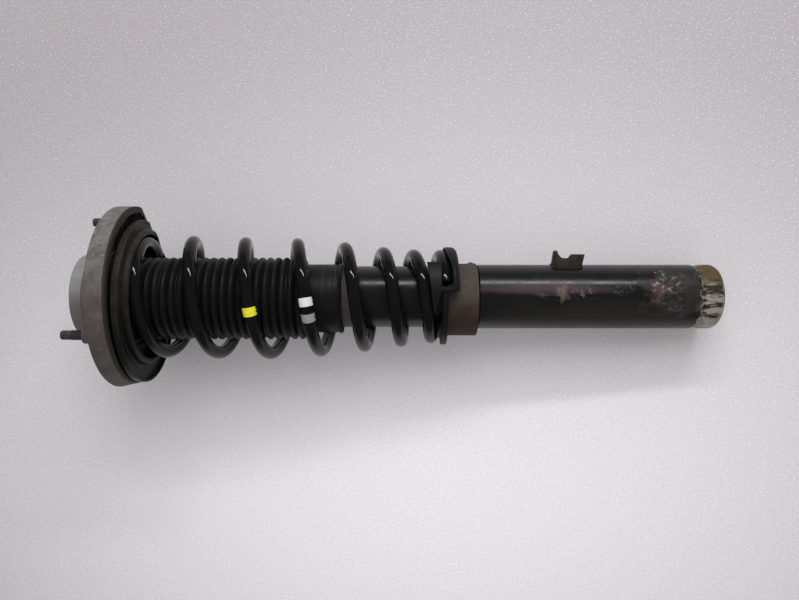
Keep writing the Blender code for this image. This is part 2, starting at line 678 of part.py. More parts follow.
def build_boot(surfaces, strut):
    """The dust boot: a loose cuff that leans on the tube, then ribs up to the spring plate."""
    cuff = CUFF_BORE + BOOT_WALL
    bead = cuff + BOOT_CUFF_BEAD
    ribs_base = BOOT_BASE + BOOT_CUFF
    top = PLATE_SEAT - FIT
    head_base = top - BOOT_HEAD
    pitch = (head_base - ribs_base) / BOOT_RIBS
    outline = [(BOOT_BASE, CUFF_BORE), (BOOT_BASE, bead), (BOOT_BASE + BOOT_CUFF_STEP, bead),
               (BOOT_BASE + BOOT_CUFF_STEP + BOOT_CUFF_BEAD, cuff), (ribs_base, cuff)]
    for rib in range(BOOT_RIBS):
        outline.append((ribs_base + (rib + 0.5) * pitch, BOOT_CREST))
        outline.append((ribs_base + (rib + 1.0) * pitch, BOOT_VALLEY))
    bore = BOOT_VALLEY - BOOT_WALL
    outline += [(head_base + pitch / 2, BOOT_CREST), (top, BOOT_CREST), (top, bore), (ribs_base, bore),
                (ribs_base - pitch / 2, CUFF_BORE)]
    shape = moved(turned(outline, BOOT_STEPS), BOOT_OFFSET, 0.0)
    add_piece("dust_boot", shape, surfaces["rubber"], strut)


def build_bump_stop(surfaces, rod):
    """The bump stop: a waisted foam sleeve on the rod, under the spring plate."""
    bore = ROD_RADIUS + FIT
    top = HUB_BASE - FIT
    lobe = BUMP_LENGTH / BUMP_LOBES
    widest = bore + BUMP_WALL
    outline = [(top, bore), (top, widest)]
    for k in range(BUMP_LOBES):
        radius = widest - BUMP_TAPER * k / BUMP_LOBES
        start = top - k * lobe
        outline += [(start - lobe * 0.6, radius), (start - lobe * 0.8, radius - BUMP_WAIST)]
    outline += [(top - BUMP_LENGTH, radius - BUMP_WAIST / 2), (top - BUMP_LENGTH, bore)]
    add_piece("bump_stop", turned(outline[::-1], INNER_STEPS), surfaces["foam"], rod)


def build_plate(surfaces, rod):
    """The upper spring plate: a hat with a cup round the wire and a wide flange with a flat."""
    bore = ROD_STEM + FIT
    wall = PLATE_WALL_RADIUS
    wall_out = wall + PLATE_SHEET
    cup = wall + PLATE_CUP_WALL
    top = RIM_BOTTOM - PLATE_RIM_GAP
    cup_base = top - PLATE_CUP_DEPTH
    flange = wall + PLATE_FLANGE
    seat_top = PLATE_SEAT + PLATE_SHEET
    seat_start = PLATE_HUB_RADIUS + PLATE_CONE
    sections = []
    for i in range(MOUNT_STEPS):
        angle = 2 * math.pi * i / MOUNT_STEPS
        across = PLATE_FLANGE_OFFSET * math.sin(angle)
        edge = PLATE_FLANGE_OFFSET * math.cos(angle) + math.sqrt(flange ** 2 - across ** 2)
        fold = edge - PLATE_SHEET
        fold_base = top - PLATE_FLANGE_DEPTH
        outline = [(HUB_BASE, bore), (HUB_BASE, PLATE_HUB_RADIUS), (PLATE_SEAT, seat_start),
                   (PLATE_SEAT, wall), (cup_base, wall), (cup_base, cup - PLATE_CUP_ROUND),
                   (cup_base + PLATE_CUP_ROUND, cup), (top - PLATE_SHEET, cup), (top - PLATE_SHEET, fold),
                   (fold_base, fold), (fold_base, edge), (top, edge), (top, wall_out),
                   (seat_top, wall_out), (seat_top, seat_start + PLATE_SHEET / 2),
                   (HUB_TOP, PLATE_HUB_RADIUS + PLATE_SHEET / 2), (HUB_TOP, bore)]
        sections.append([on_axis(x, radius, angle) for x, radius in outline])
    shape = sliced(lofted(sections, True), FLAT_DISTANCE, FLAT_ANGLE)
    add_piece("upper_spring_plate", shape, surfaces["black_steel"], rod)


def stud_angles():
    """Where the studs stand round the mount."""
    return [FIRST_STUD_ANGLE + 2 * math.pi * i / STUD_COUNT for i in range(STUD_COUNT)]


def tapered(bm):
    """Draw the skirt's lower edge inward on the side across from the flat."""
    for vert in bm.verts:
        radius = math.hypot(vert.co.y, vert.co.z)
        if radius > 0.0 and vert.co.y > 0.0:
            depth = (RIM_TOP - RIM_ROUND - vert.co.x) / (SKIRT_DEPTH - 2 * RIM_ROUND)
            side = (vert.co.y / radius) ** 2
            scale = 1.0 - SKIRT_TAPER / MOUNT_RADIUS * side * min(1.0, max(0.0, depth))
            vert.co.y *= scale
            vert.co.z *= scale
    return bm


def build_mount(surfaces, mount):
    """The cast top mount: a necked crown and a skirt with one flat side, and three stud pads."""
    hole = BOSS_RADIUS + FIT
    land = hole + CROWN_LAND
    corner = MOUNT_RADIUS - RIM_ROUND
    outline = [(RIM_BOTTOM, 0.0)] + arc(RIM_BOTTOM + RIM_ROUND, corner, RIM_ROUND, 180, 90, 3)
    outline += arc(RIM_TOP - RIM_ROUND, corner, RIM_ROUND, 90, 0, 3)
    neck = hole + CROWN_NECK_WALL
    neck_top = SEAT_HEIGHT + CROWN_NECK
    outline += [(SEAT_HEIGHT, land), (SEAT_HEIGHT, neck), (neck_top, neck), (neck_top, 0.0)]
    shape = sliced(tapered(turned(outline, MOUNT_STEPS)), FLAT_DISTANCE, FLAT_ANGLE)
    casting = add_piece("mount_casting", shape, surfaces["cast_aluminium"], mount)

    skirt_bore = MOUNT_RADIUS - SKIRT_WALL
    mouth = RIM_BOTTOM - CROWN_WALL
    outside = neck_top + CROWN_WALL
    hollow = [(mouth, 0.0), (mouth, skirt_bore), (RIM_TOP - CROWN_WALL, skirt_bore), (CROWN_INSIDE, land),
              (CROWN_INSIDE, hole), (outside, hole), (outside, 0.0)]
    inside = sliced(turned(hollow, MOUNT_STEPS), FLAT_DISTANCE - SKIRT_WALL, FLAT_ANGLE)
    combine(casting, inside, "DIFFERENCE")

    head_seat = STUD_SEAT - STUD_PAD_WALL
    shank = STUD_RADIUS + FIT
    spot = STUD_HEAD_RADIUS + FIT
    stepped = [(mouth, 0.0), (mouth, spot), (head_seat, spot), (head_seat, shank), (outside, shank),
               (outside, 0.0)]
    for angle in stud_angles():
        y = STUD_CIRCLE * math.cos(angle)
        z = STUD_CIRCLE * math.sin(angle)
        pad = rod_shape(head_seat + FIT, STUD_SEAT, STUD_PAD_RADIUS, INNER_STEPS)
        combine(casting, moved(pad, y, z), "UNION")
        combine(casting, moved(turned(stepped, SMALL_STEPS), y, z), "DIFFERENCE")


def build_boss(surfaces, mount):
    """The bearing cup: a flange under the crown, a round wall and a lip round the nut's well."""
    bore = BUSH_RADIUS + FIT
    flange_top = CROWN_INSIDE - FIT
    flange_radius = BOSS_RADIUS + BOSS_FLANGE
    outline = [(BOSS_BASE, bore), (BOSS_BASE, flange_radius), (flange_top, flange_radius),
               (flange_top, BOSS_RADIUS)]
    outline += arc(BOSS_TOP - BOSS_ROUND, BOSS_RADIUS - BOSS_ROUND, BOSS_ROUND, 90, 0, 3)
    outline += [(BOSS_TOP, WELL_RADIUS), (BOSS_TOP - BOSS_LIP, WELL_RADIUS), (BOSS_TOP - BOSS_LIP, bore)]
    add_piece("mount_boss", turned(outline, MOUNT_STEPS), surfaces["aluminium"], mount)


def build_studs(surfaces, mount):
    """Three pressed-in studs, each with its head on the underside of its pad."""
    head_top = STUD_SEAT - STUD_PAD_WALL - FIT
    head_base = head_top - STUD_HEAD
    tip = STUD_SEAT + STUD_REACH
    outline = [(head_base, 0.0), (head_base, STUD_HEAD_RADIUS), (head_top, STUD_HEAD_RADIUS),
               (head_top, STUD_RADIUS), (tip - STUD_CHAMFER, STUD_RADIUS), (tip, STUD_RADIUS - STUD_CHAMFER),
               (tip, 0.0)]
    for number, angle in enumerate(stud_angles(), start=1):
        stud = add_piece(f"mount_stud_{number}", turned(outline, SMALL_STEPS), surfaces["bolt_steel"], mount)
        stud.location = on_axis(0.0, STUD_CIRCLE, angle)


def build_bush(surfaces, mount):
    """The rubber bush in the boss, with the sleeve and the circlip that hold the bearing."""
    race = OUTER_RACE_RADIUS + FIT
    base = RACE_BASE - SLEEVE_OVERHANG
    top = RACE_TOP + SLEEVE_OVERHANG
    ledge = RACE_BASE - FIT
    slot_top = RACE_TOP + CIRCLIP + 2 * FIT
    slot = race + CIRCLIP_GROOVE
    sleeve = [(base, race - SLEEVE_LIP), (base, SLEEVE_RADIUS), (top, SLEEVE_RADIUS), (top, race),
              (slot_top, race), (slot_top, slot), (RACE_TOP, slot), (RACE_TOP, race), (ledge, race),
              (ledge, race - SLEEVE_LIP)]
    add_piece("bush_sleeve", turned(sleeve, INNER_STEPS), surfaces["bare_steel"], mount)

    inner = SLEEVE_RADIUS + FIT
    middle = (inner + BUSH_RADIUS) / 2
    bush = [(BOSS_BASE, inner), (BOSS_BASE + BUSH_WAIST, middle), (BOSS_BASE, BUSH_RADIUS),
            (top, BUSH_RADIUS), (top - BUSH_WAIST, middle), (top, inner)]
    add_piece("mount_bush", turned(bush, INNER_STEPS), surfaces["rubber"], mount)

    clip_outer = slot - FIT
    clip_inner = clip_outer - CIRCLIP_DEPTH
    low = RACE_TOP + FIT
    high = low + CIRCLIP
    sweep = 2 * math.pi - CIRCLIP_OPENING
    sections = []
    for i in range(INNER_STEPS + 1):
        angle = CIRCLIP_OPENING / 2 + sweep * i / INNER_STEPS
        profile = [(low, clip_inner), (low, clip_outer), (high, clip_outer), (high, clip_inner)]
        sections.append([on_axis(x, radius, angle) for x, radius in profile])
    add_piece("bearing_circlip", lofted(sections, False), surfaces["bolt_steel"], mount)


def race_groove(side):
    """Points of a ball groove, for the inner race (side -1) or the outer race (side 1)."""
    radius = BALL_RADIUS + BEARING_GAP
    depth = radius - RACE_SHOULDER
    spread = math.degrees(math.acos(depth / radius))
    start = 90 * side - spread * side
    return arc(RACE_MIDDLE, BALL_CIRCLE, radius, start, 180 * side - start, 4)


def build_bearing(surfaces, rod, mount, cage_turn):
    """The ball bearing: inner race on the rod, outer race in the bush, balls in a cage."""
    steel = surfaces["chrome"]
    bore = ROD_STEM + FIT
    shoulder = BALL_RADIUS + BEARING_GAP - RACE_SHOULDER
    inner = [(RACE_TOP, BALL_CIRCLE - shoulder), (RACE_TOP, bore), (RACE_BASE, bore),
             (RACE_BASE, BALL_CIRCLE - shoulder)]
    add_piece("bearing_inner_race", turned(inner + sorted(race_groove(-1)), INNER_STEPS), steel, rod)
    outer = [(RACE_TOP, BALL_CIRCLE + shoulder), (RACE_TOP, OUTER_RACE_RADIUS),
             (RACE_BASE, OUTER_RACE_RADIUS), (RACE_BASE, BALL_CIRCLE + shoulder)]
    add_piece("bearing_outer_race", turned(outer + sorted(race_groove(1)), INNER_STEPS), steel, mount)

    pocket = BALL_RADIUS + BEARING_GAP
    half = pocket + CAGE_RIM
    ring = plain_ring(RACE_MIDDLE - half, RACE_MIDDLE + half, BALL_CIRCLE - CAGE_WALL / 2,
                      BALL_CIRCLE + CAGE_WALL / 2, 2 * BALL_COUNT)
    cage = add_piece("bearing_cage", ring, surfaces["brass"], cage_turn)
    pockets = bmesh.new()
    sphere = bmesh.new()
    bmesh.ops.create_uvsphere(sphere, u_segments=8, v_segments=6, radius=BALL_RADIUS)
    first = add_piece("bearing_ball_01", sphere, steel, cage_turn)
    for number in range(BALL_COUNT):
        angle = 2 * math.pi * number / BALL_COUNT
        place = on_axis(RACE_MIDDLE, BALL_CIRCLE, angle)
        turn = Matrix.Translation(place) @ Matrix.Rotation(angle - math.pi / 2, 4, "X")
        bmesh.ops.create_cone(pockets, cap_ends=True, segments=SMALL_STEPS, radius1=pocket, radius2=pocket,
                              depth=2 * CAGE_WALL, matrix=turn)
        ball = first
        if number:
            ball = bpy.data.objects.new(f"bearing_ball_{number + 1:02d}", first.data)
            bpy.context.collection.objects.link(ball)
            ball.parent = cage_turn
        ball.location = place
    combine(cage, pockets, "DIFFERENCE")


def build_clamp(surfaces, rod):
    """What clamps the plate and the bearing on the rod: spacer sleeve, washer and nut."""
    steel = surfaces["bolt_steel"]
    bore = ROD_STEM + FIT
    add_piece("spacer_sleeve", plain_ring(SPACER_BASE, SPACER_BASE + SPACER_LENGTH, bore, bore + SPACER_WALL),
              steel, rod)
    washer_base = WASHER_TOP - WASHER_THICKNESS
    add_piece("rod_washer", plain_ring(washer_base, WASHER_TOP, bore, bore + WASHER_WALL), steel, rod)
    hexagon_nut("rod_nut", NUT_TOP - NUT_HEIGHT, NUT_TOP, 2 * (bore + NUT_WALL), bore, steel, rod)


def bracket_height(x):
    """How far the bracket's edge stands off the strut's axis: a tip, a saddle and a wide ear."""
    tip_end = BRACKET_CENTRE + BRACKET_WIDTH / 2
    drop = smooth((tip_end - BRACKET_SHEET - x) / BRACKET_TIP_WIDTH)
    rise = smooth((BRACKET_CENTRE - x) / BRACKET_EAR_RISE)
    height = BRACKET_TIP_HEIGHT + (BRACKET_SADDLE_HEIGHT - BRACKET_TIP_HEIGHT) * drop
    return TUBE_RADIUS + height + (BRACKET_EAR_HEIGHT - BRACKET_SADDLE_HEIGHT) * rise


def build_bracket(surfaces, strut):
    """The hose bracket: a bent sheet on the tube with a bent end, a saddle and a curled ear."""
    half_sheet = BRACKET_SHEET / 2
    left = BRACKET_CENTRE + BRACKET_WIDTH / 2 - half_sheet
    right = BRACKET_CENTRE - BRACKET_WIDTH / 2 + half_sheet
    face = BRACKET_FACE - half_sheet
    back = BRACKET_FACE - BRACKET_RETURN
    path = [(left, back)]
    path += arc(left - BRACKET_BEND, face - BRACKET_BEND, BRACKET_BEND, 0, 90, 4)
    web_start = left - BRACKET_BEND
    web_end = right + BRACKET_CURL
    steps = BRACKET_WEB_SECTIONS
    path += [(web_start + (web_end - web_start) * i / steps, face) for i in range(1, steps)]
    path += arc(web_end, face - BRACKET_CURL, BRACKET_CURL, 90, 180, 5)
    path += [(right, back)]
    sections = []
    for i, (x, z) in enumerate(path):
        before = path[max(i - 1, 0)]
        after = path[min(i + 1, len(path) - 1)]
        length = math.dist(before, after)
        side_x = (before[1] - after[1]) / length * half_sheet
        side_z = (after[0] - before[0]) / length * half_sheet
        rim = -bracket_height(x)
        lean = BRACKET_EAR_LEAN * smooth((BRACKET_CENTRE - x) / (BRACKET_CENTRE - right))
        rows = []
        for sign in (-1, 1):
            edge_z = z + sign * side_z
            foot = -math.sqrt((TUBE_RADIUS + FIT) ** 2 - edge_z ** 2)
            rows.append([(x + sign * side_x, foot, edge_z), (x + sign * side_x - lean, rim, edge_z)])
        sections.append(rows[0] + rows[1][::-1])
    add_piece("hose_bracket", lofted(sections, False), surfaces["rusty_steel"], strut)


def build_strut():
    """Build every piece on the body that carries it."""
    clear_scene()
    surfaces = {
        "black_paint": finish("black_paint", (0.02, 0.02, 0.022), 0.4, 0.0),
        "bare_steel": finish("bare_steel", (0.42, 0.40, 0.36), 0.45, 0.9),
        "zinc": finish("zinc", (0.25, 0.25, 0.25), 0.45, 0.7),
        "brass": finish("brass", (0.55, 0.38, 0.16), 0.35, 0.9),
        "aluminium": finish("aluminium", (0.55, 0.55, 0.56), 0.4, 0.9),
        "cast_aluminium": finish("cast_aluminium", (0.27, 0.25, 0.23), 0.6, 0.8),
        "chrome": finish("chrome", (0.6, 0.6, 0.62), 0.12, 1.0),
        "plastic": finish("plastic", (0.5, 0.47, 0.4), 0.5, 0.0),
        "rubber": finish("rubber", (0.012, 0.012, 0.013), 0.55, 0.0),
        "foam": finish("foam", (0.45, 0.33, 0.16), 0.9, 0.0),
        "gloss_black": finish("gloss_black", (0.008, 0.008, 0.009), 0.18, 0.0),
        "black_steel": finish("black_steel", (0.015, 0.017, 0.015), 0.35, 0.2),
        "bolt_steel": finish("bolt_steel", (0.12, 0.11, 0.10), 0.5, 0.8),
        "rusty_steel": finish("rusty_steel", (0.06, 0.038, 0.026), 0.8, 0.2),
    }
    strut = body("strut_body")
    rod = body("rod_slide", strut)
    mount = body("mount_swivel", rod)
    cage_turn = body("cage_turn", rod)
    build_tube(surfaces, strut)
    build_damper(surfaces, strut)
    build_collar(surfaces, strut)
    build_lower_pad(surfaces, strut)
    build_bracket(surfaces, strut)
    build_spring(surfaces, strut)
    build_boot(surfaces, strut)
    build_rod(surfaces, rod)
    build_plate(surfaces, rod)
    build_upper_pad(surfaces, rod)
    build_bump_stop(surfaces, rod)
    build_clamp(surfaces, rod)
    build_mount(surfaces, mount)
    build_boss(surfaces, mount)
    build_studs(surfaces, mount)
    build_bush(surfaces, mount)
    build_bearing(surfaces, rod, mount, cage_turn)


build_strut()
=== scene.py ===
import math

import bmesh
import bpy
from mathutils import Matrix, Vector


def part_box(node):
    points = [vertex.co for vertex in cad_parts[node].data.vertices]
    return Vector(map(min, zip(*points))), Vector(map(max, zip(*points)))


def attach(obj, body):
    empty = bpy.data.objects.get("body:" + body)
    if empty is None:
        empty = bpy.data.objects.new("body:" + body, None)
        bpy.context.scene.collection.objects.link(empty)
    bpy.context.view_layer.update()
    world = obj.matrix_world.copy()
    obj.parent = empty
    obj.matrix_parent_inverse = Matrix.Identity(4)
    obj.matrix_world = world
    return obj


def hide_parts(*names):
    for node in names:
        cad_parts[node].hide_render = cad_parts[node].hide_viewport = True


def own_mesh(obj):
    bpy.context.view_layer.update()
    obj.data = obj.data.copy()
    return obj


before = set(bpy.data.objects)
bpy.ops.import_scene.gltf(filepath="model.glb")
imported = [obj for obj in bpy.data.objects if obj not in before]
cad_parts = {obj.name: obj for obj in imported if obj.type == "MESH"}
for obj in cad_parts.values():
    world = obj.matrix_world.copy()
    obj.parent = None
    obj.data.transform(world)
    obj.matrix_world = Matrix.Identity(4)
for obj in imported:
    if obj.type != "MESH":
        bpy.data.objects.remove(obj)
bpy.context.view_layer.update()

# A used suspension strut on a pale floor.
# X runs up the strut from its foot, Z is up and -Y is the top of the picture.
# Angles round the strut are counted from +Y towards +Z.


def span(node):
    """The lowest and highest x of a CAD node."""
    low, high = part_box(node)
    return low.x, high.x


def radius_of(node):
    """The largest radius of a CAD node that is round about the strut's axis."""
    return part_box(node)[1].z


# Places and radii read from the frame
FOOT_LOW, FOOT_HIGH = span("foot_cap")
TUBE_LOW, TUBE_HIGH = span("strut_tube")
TUBE_RADIUS = radius_of("strut_tube")
CAP_LOW, CAP_HIGH = span("tube_cap")
COLLAR_LOW = span("lower_spring_collar")[0]
COIL_LOW, COIL_HIGH = span("coil_spring")
BOOT_LOW, BOOT_HIGH = span("dust_boot")
BOOT_CREST = radius_of("dust_boot")
PLATE_LOW, PLATE_HIGH = span("upper_spring_plate")
PLATE_RADIUS = radius_of("upper_spring_plate")
UPPER_PAD_HIGH = span("upper_spring_pad")[1]
RIM_LOW, CROWN_HIGH = span("mount_casting")
MOUNT_RADIUS = radius_of("mount_casting")
BOSS_LOW, BOSS_HIGH = span("mount_boss")
STUD_LOW, STUD_TIP = span("mount_stud_1")
RACE_LOW, RACE_HIGH = span("bearing_outer_race")
OUTER_RACE_RADIUS = radius_of("bearing_outer_race")
INNER_RACE_RADIUS = radius_of("bearing_inner_race")
SLEEVE_LOW, SLEEVE_HIGH = span("bush_sleeve")
SLEEVE_RADIUS = radius_of("bush_sleeve")
BUSH_LOW, BUSH_HIGH = span("mount_bush")
BUSH_RADIUS = radius_of("mount_bush")
CLIP_LOW, CLIP_HIGH = span("bearing_circlip")
CAGE_LOW, CAGE_HIGH = span("bearing_cage")
WASHER_LOW, WASHER_HIGH = span("rod_washer")
WASHER_RADIUS = radius_of("rod_washer")
NUT_LOW, NUT_HIGH = span("rod_nut")
ROD_LOW, ROD_HIGH = span("piston_rod")
ROD_RADIUS = radius_of("piston_rod")
BUMP_LOW, BUMP_HIGH = span("bump_stop")
BUMP_RADIUS = radius_of("bump_stop")

# Fits, roundings and facets
FIT = 0.0003
EDGE = 0.0006
TURN_STEPS = 128
MOUNT_STEPS = 160
SMALL_STEPS = 48
SMOOTH_ANGLE = math.radians(35.0)

# Tube, foot and cap
TUBE_WALL = 0.00265
TUBE_SHOULDER = 0.00125
TUBE_LIP = 0.0022
TUBE_LIP_OVERHANG = 0.0051
WELD_GROOVE = 0.0009
WELD_GROOVE_LENGTH = 0.0045
FOOT_ROUND = 0.006
FOOT_SPIGOT = 0.008
CAP_PLATE = 0.0022
CAP_ROD_GAP = 0.002
NECK_RADIUS = TUBE_RADIUS - TUBE_SHOULDER
TUBE_BORE = NECK_RADIUS - TUBE_WALL

# Collar under the spring
COLLAR_HEIGHT = 0.0195
COLLAR_WALL = 0.00185
COLLAR_OFFSET = 0.0026
SEAT_RISE = 0.0067
SEAT_RISE_TURNS = 0.75
SEAT_START = COLLAR_LOW + COLLAR_HEIGHT
SPUR_PLACE = COLLAR_LOW + 0.0044
SPUR_LENGTH = 0.003
SPUR_HEIGHT = 0.0017
SPUR_TURNS = 0.2
SPUR_SPAN = 0.035
COLLAR_RADIUS = NECK_RADIUS + FIT + COLLAR_OFFSET + COLLAR_WALL

# Coil spring
WIRE_RADIUS = 0.0055
PAD_THICKNESS = 0.0025
PLATE_SHEET = 0.0022
PLATE_HUB_RISE = 0.0048
PLATE_SEAT = PLATE_HIGH - PLATE_SHEET - PLATE_HUB_RISE
COIL_TURNS = 7.3
COIL_TIP_ANGLE = math.radians(108.0)
COIL_BOTTOM = SEAT_START + 2 * FIT + PAD_THICKNESS + WIRE_RADIUS
COIL_TOP = PLATE_SEAT - 2 * FIT - PAD_THICKNESS - WIRE_RADIUS
COIL_LOWER_GAP = 0.0032
COIL_UPPER_GAP = 0.0064
COIL_LOWER_RADIUS = NECK_RADIUS + COIL_LOWER_GAP + WIRE_RADIUS
COIL_UPPER_RADIUS = BOOT_CREST + COIL_UPPER_GAP + WIRE_RADIUS
FLARE_START_TURNS = 0.6
FLARE_TURNS = 4.3
END_PITCH = 0.012
LOWER_PITCH = 0.024
FULL_PITCH = 0.0443
LOWER_CLOSED_TURNS = 0.8
UPPER_CLOSED_TURNS = 0.45
OPEN_START_TURNS = 0.8
OPEN_TURNS = 4.0
COIL_BOW = 0.0014
BOW_START_TURNS = 0.7
BOW_TURNS = 1.5
COIL_LEAN = 0.05
LEAN_TURNS = 2.3
COIL_TIP_LEAN = 0.052
COIL_POINTS_PER_TURN = 72
WIRE_SIDES = 28

# Paint marks on the spring: middle in turns from the lower tip, half length in turns, half width on the wire
MARKS = {
    "yellow": (4.9152, 0.0112, math.radians(78.0)),
    "white": (3.9397, 0.0112, math.radians(80.0)),
    "grey": (3.8969, 0.0112, math.radians(78.0)),
}
MARK_THICKNESS = 0.00015

# Spring pads
PAD_LIP = 0.0006
PAD_EDGE = 0.0042
PAD_SHELF = 0.001
PAD_STOP_TURNS = 0.965
PAD_STOP_END = 0.976
POCKET_DROP = 0.0036
POCKET_TURNS = 0.13
PAD_LUG_WALL = 0.0018
LOWER_PAD_TURNS = 0.78
LUG_TURNS = 0.22
LUG_FADE_TURNS = 0.1
LUG_DROP = 0.0026
LUG_COLLAR_GAP = 0.0016
RIB_CORNER = 0.0034
PAD_FADE_TURNS = 0.14
LUG_WIRE_SHARE = 0.45
UPPER_PAD_TURNS = 0.45
PAD_SECTIONS = 160
PAD_ROUND = 0.0009
HOOK_GAP = 0.0009
HOOK_WALL = 0.0016
HOOK_BASE = COIL_BOTTOM - 0.0084
HOOK_ARM_BASE = COIL_BOTTOM + 0.0031
HOOK_TOP = HOOK_ARM_BASE + 0.012
HOOK_TOE = 0.0012
HOOK_TOE_ANGLE = 71.0
HOOK_FALL = 0.0052
HOOK_BAR_ROUND = 0.0022
HOOK_ROUND = 0.0007
HOOK_START = 96.0
HOOK_CORNER = 100.5
HOOK_END = 131.0

# Dust boot
BOOT_WALL = 0.0012
BOOT_OFFSET = 0.0016
CUFF_RADIUS = NECK_RADIUS + BOOT_OFFSET + FIT + BOOT_WALL
BOOT_CUFF = 0.031
CUFF_LINES = BOOT_LOW + 0.012
BOOT_BEAD = 0.001
BOOT_BEAD_LENGTH = 0.0026
BOOT_RIB_DEPTH = 0.0039
BOOT_RIBS = 20
BOOT_HEAD = 0.0085
BOOT_ROWS = 321
BOOT_COLUMNS = 73

# Upper plate and top mount
PLATE_HUB_RADIUS = 0.029
PLATE_CONE = 0.005
PLATE_RIM_GAP = 0.001
PLATE_CUP_WALL = 0.005
PLATE_CUP_ROUND = 0.002
PLATE_FLANGE = 0.0164
PLATE_FLANGE_OFFSET = 0.0038
PLATE_FLAT_SLOPE = 1.2
PLATE_FOLD_SHARE = 0.55
PLATE_FLANGE_DEPTH = 0.0057
SKIRT_DEPTH = 0.0164
SKIRT_WALL = 0.0053
SKIRT_TAPER = 0.003
RIM_ROUND = 0.0015
RIM_HIGH = RIM_LOW + SKIRT_DEPTH
CROWN_WALL = 0.0065
CROWN_LAND = 0.006
CROWN_NECK = 0.0105
CROWN_NECK_WALL = 0.0012
SEAT_HEIGHT = CROWN_HIGH - CROWN_NECK
FLAT_DEPTH = 0.0156
FLAT_DISTANCE = MOUNT_RADIUS - FLAT_DEPTH
FLAT_ANGLE = math.radians(216.5)
STUD_CIRCLE = MOUNT_RADIUS - 0.0131
STUD_SEAT = SEAT_HEIGHT - 0.002
STUD_RADIUS = 0.004
STUD_PITCH = 0.00125
STUD_CHAMFER = 0.001
STUD_POINT = 0.007
STUD_POINT_RADIUS = 0.0037
STUD_HEAD_RADIUS = 0.0058
STUD_HEAD = 0.003
STUD_PAD_RADIUS = 0.0068
STUD_PAD_WALL = 0.009
STUD_COUNT = 3
FIRST_STUD_ANGLE = math.radians(181.6)
BOSS_WALL = 0.0045
BOSS_FLANGE = 0.004
BOSS_FLANGE_THICKNESS = 0.002
BOSS_LIP = 0.0035
BOSS_ROUND = 0.003
WELL_INSET = 0.0021
BOSS_RADIUS = BUSH_RADIUS + FIT + BOSS_WALL

# Bearing, bush, nut and rod
BALL_CIRCLE = 0.0175
BALL_RADIUS = 0.0035
BALL_COUNT = 10
BALL_GAP = 0.0004
RACE_SHOULDER = 0.0011
CAGE_WALL = 0.0024
SLEEVE_WALL = 0.0016
SLEEVE_LIP = 0.002
BUSH_WAIST = 0.002
CIRCLIP_OPENING = math.radians(40.0)
CIRCLIP_DEPTH = 0.0022
CIRCLIP_GROOVE = 0.0008
ROD_STEM = 0.007
ROD_TAIL = 0.006
ROD_PITCH = 0.0015
NUT_FLATS = 0.022
BUMP_WAIST = 0.0035
BUMP_LOBES = 3
BUMP_TAPER = 0.004

# Hose bracket
BRACKET_CENTRE = 0.1265
BRACKET_WIDTH = 0.027
BRACKET_SHEET = 0.0025
BRACKET_FACE = 0.0145
BRACKET_RETURN = 0.010
BRACKET_BEND = 0.003
BRACKET_CURL = 0.0055
BRACKET_TIP_HEIGHT = 0.0116
BRACKET_SADDLE_HEIGHT = 0.0049
BRACKET_EAR_HEIGHT = 0.0082
BRACKET_TIP_WIDTH = 0.0062
BRACKET_EAR_RISE = 0.004
BRACKET_EAR_SHIFT = 0.003
BRACKET_EAR_LEAN = 0.0025
BRACKET_EAR_INSET = 0.0025
BRACKET_TIP_LEAN = 0.0018
BRACKET_TIP_SHIFT = 0.0013
BRACKET_WEB_SECTIONS = 40
WELD_SPACING = 0.0019
WELD_BEAD = 0.0008


# Shapes

def smooth(value):
    """Ease from 0 to 1."""
    value = min(1.0, max(0.0, value))
    return value * value * (3.0 - 2.0 * value)


def on_axis(x, radius, angle):
    """The point at a radius and an angle round the strut."""
    return Vector((x, radius * math.cos(angle), radius * math.sin(angle)))


def arc(centre_x, centre_r, radius, start, end, points=9):
    """Points of a round corner in the turning plane, from one angle to another in degrees."""
    angles = [math.radians(start + (end - start) * i / (points - 1)) for i in range(points)]
    return [(centre_x + radius * math.cos(a), centre_r + radius * math.sin(a)) for a in angles]


def rounded(outline, radius=EDGE, points=4):
    """A closed outline with each corner eased into a small curve."""
    eased = []
    count = len(outline)
    for i, point in enumerate(outline):
        corner = Vector(point)
        back = Vector(outline[i - 1]) - corner
        ahead = Vector(outline[(i + 1) % count]) - corner
        if corner.y < FIT:
            eased.append(tuple(corner))
            continue
        start = corner + back.normalized() * min(radius, 0.45 * back.length)
        end = corner + ahead.normalized() * min(radius, 0.45 * ahead.length)
        for k in range(points + 1):
            t = k / points
            eased.append(tuple(start * (1 - t) ** 2 + corner * (2 * t * (1 - t)) + end * t * t))
    return eased


def turned(outline, steps=TURN_STEPS):
    """A closed outline of (x, radius) points turned about the strut's axis."""
    sections = []
    for i in range(steps):
        angle = 2 * math.pi * i / steps
        sections.append([on_axis(x, radius, angle) for x, radius in outline])
    return lofted(sections, True)


def lofted(sections, closed):
    """Equal sections joined into one skin, round in a loop or capped at both ends."""
    shape = bmesh.new()
    rows = [[shape.verts.new(point) for point in section] for section in sections]
    count = len(rows[0])
    pairs = list(zip(rows, rows[1:]))
    if closed:
        pairs.append((rows[-1], rows[0]))
    for first, second in pairs:
        for i in range(count):
            j = (i + 1) % count
            shape.faces.new((first[i], first[j], second[j], second[i]))
    if not closed:
        shape.faces.new(rows[0])
        shape.faces.new(rows[-1])
    bmesh.ops.remove_doubles(shape, verts=shape.verts, dist=1e-7)
    bare = [edge for edge in shape.edges if edge.is_wire]
    bmesh.ops.delete(shape, geom=bare, context="EDGES")
    bmesh.ops.recalc_face_normals(shape, faces=shape.faces)
    return shape


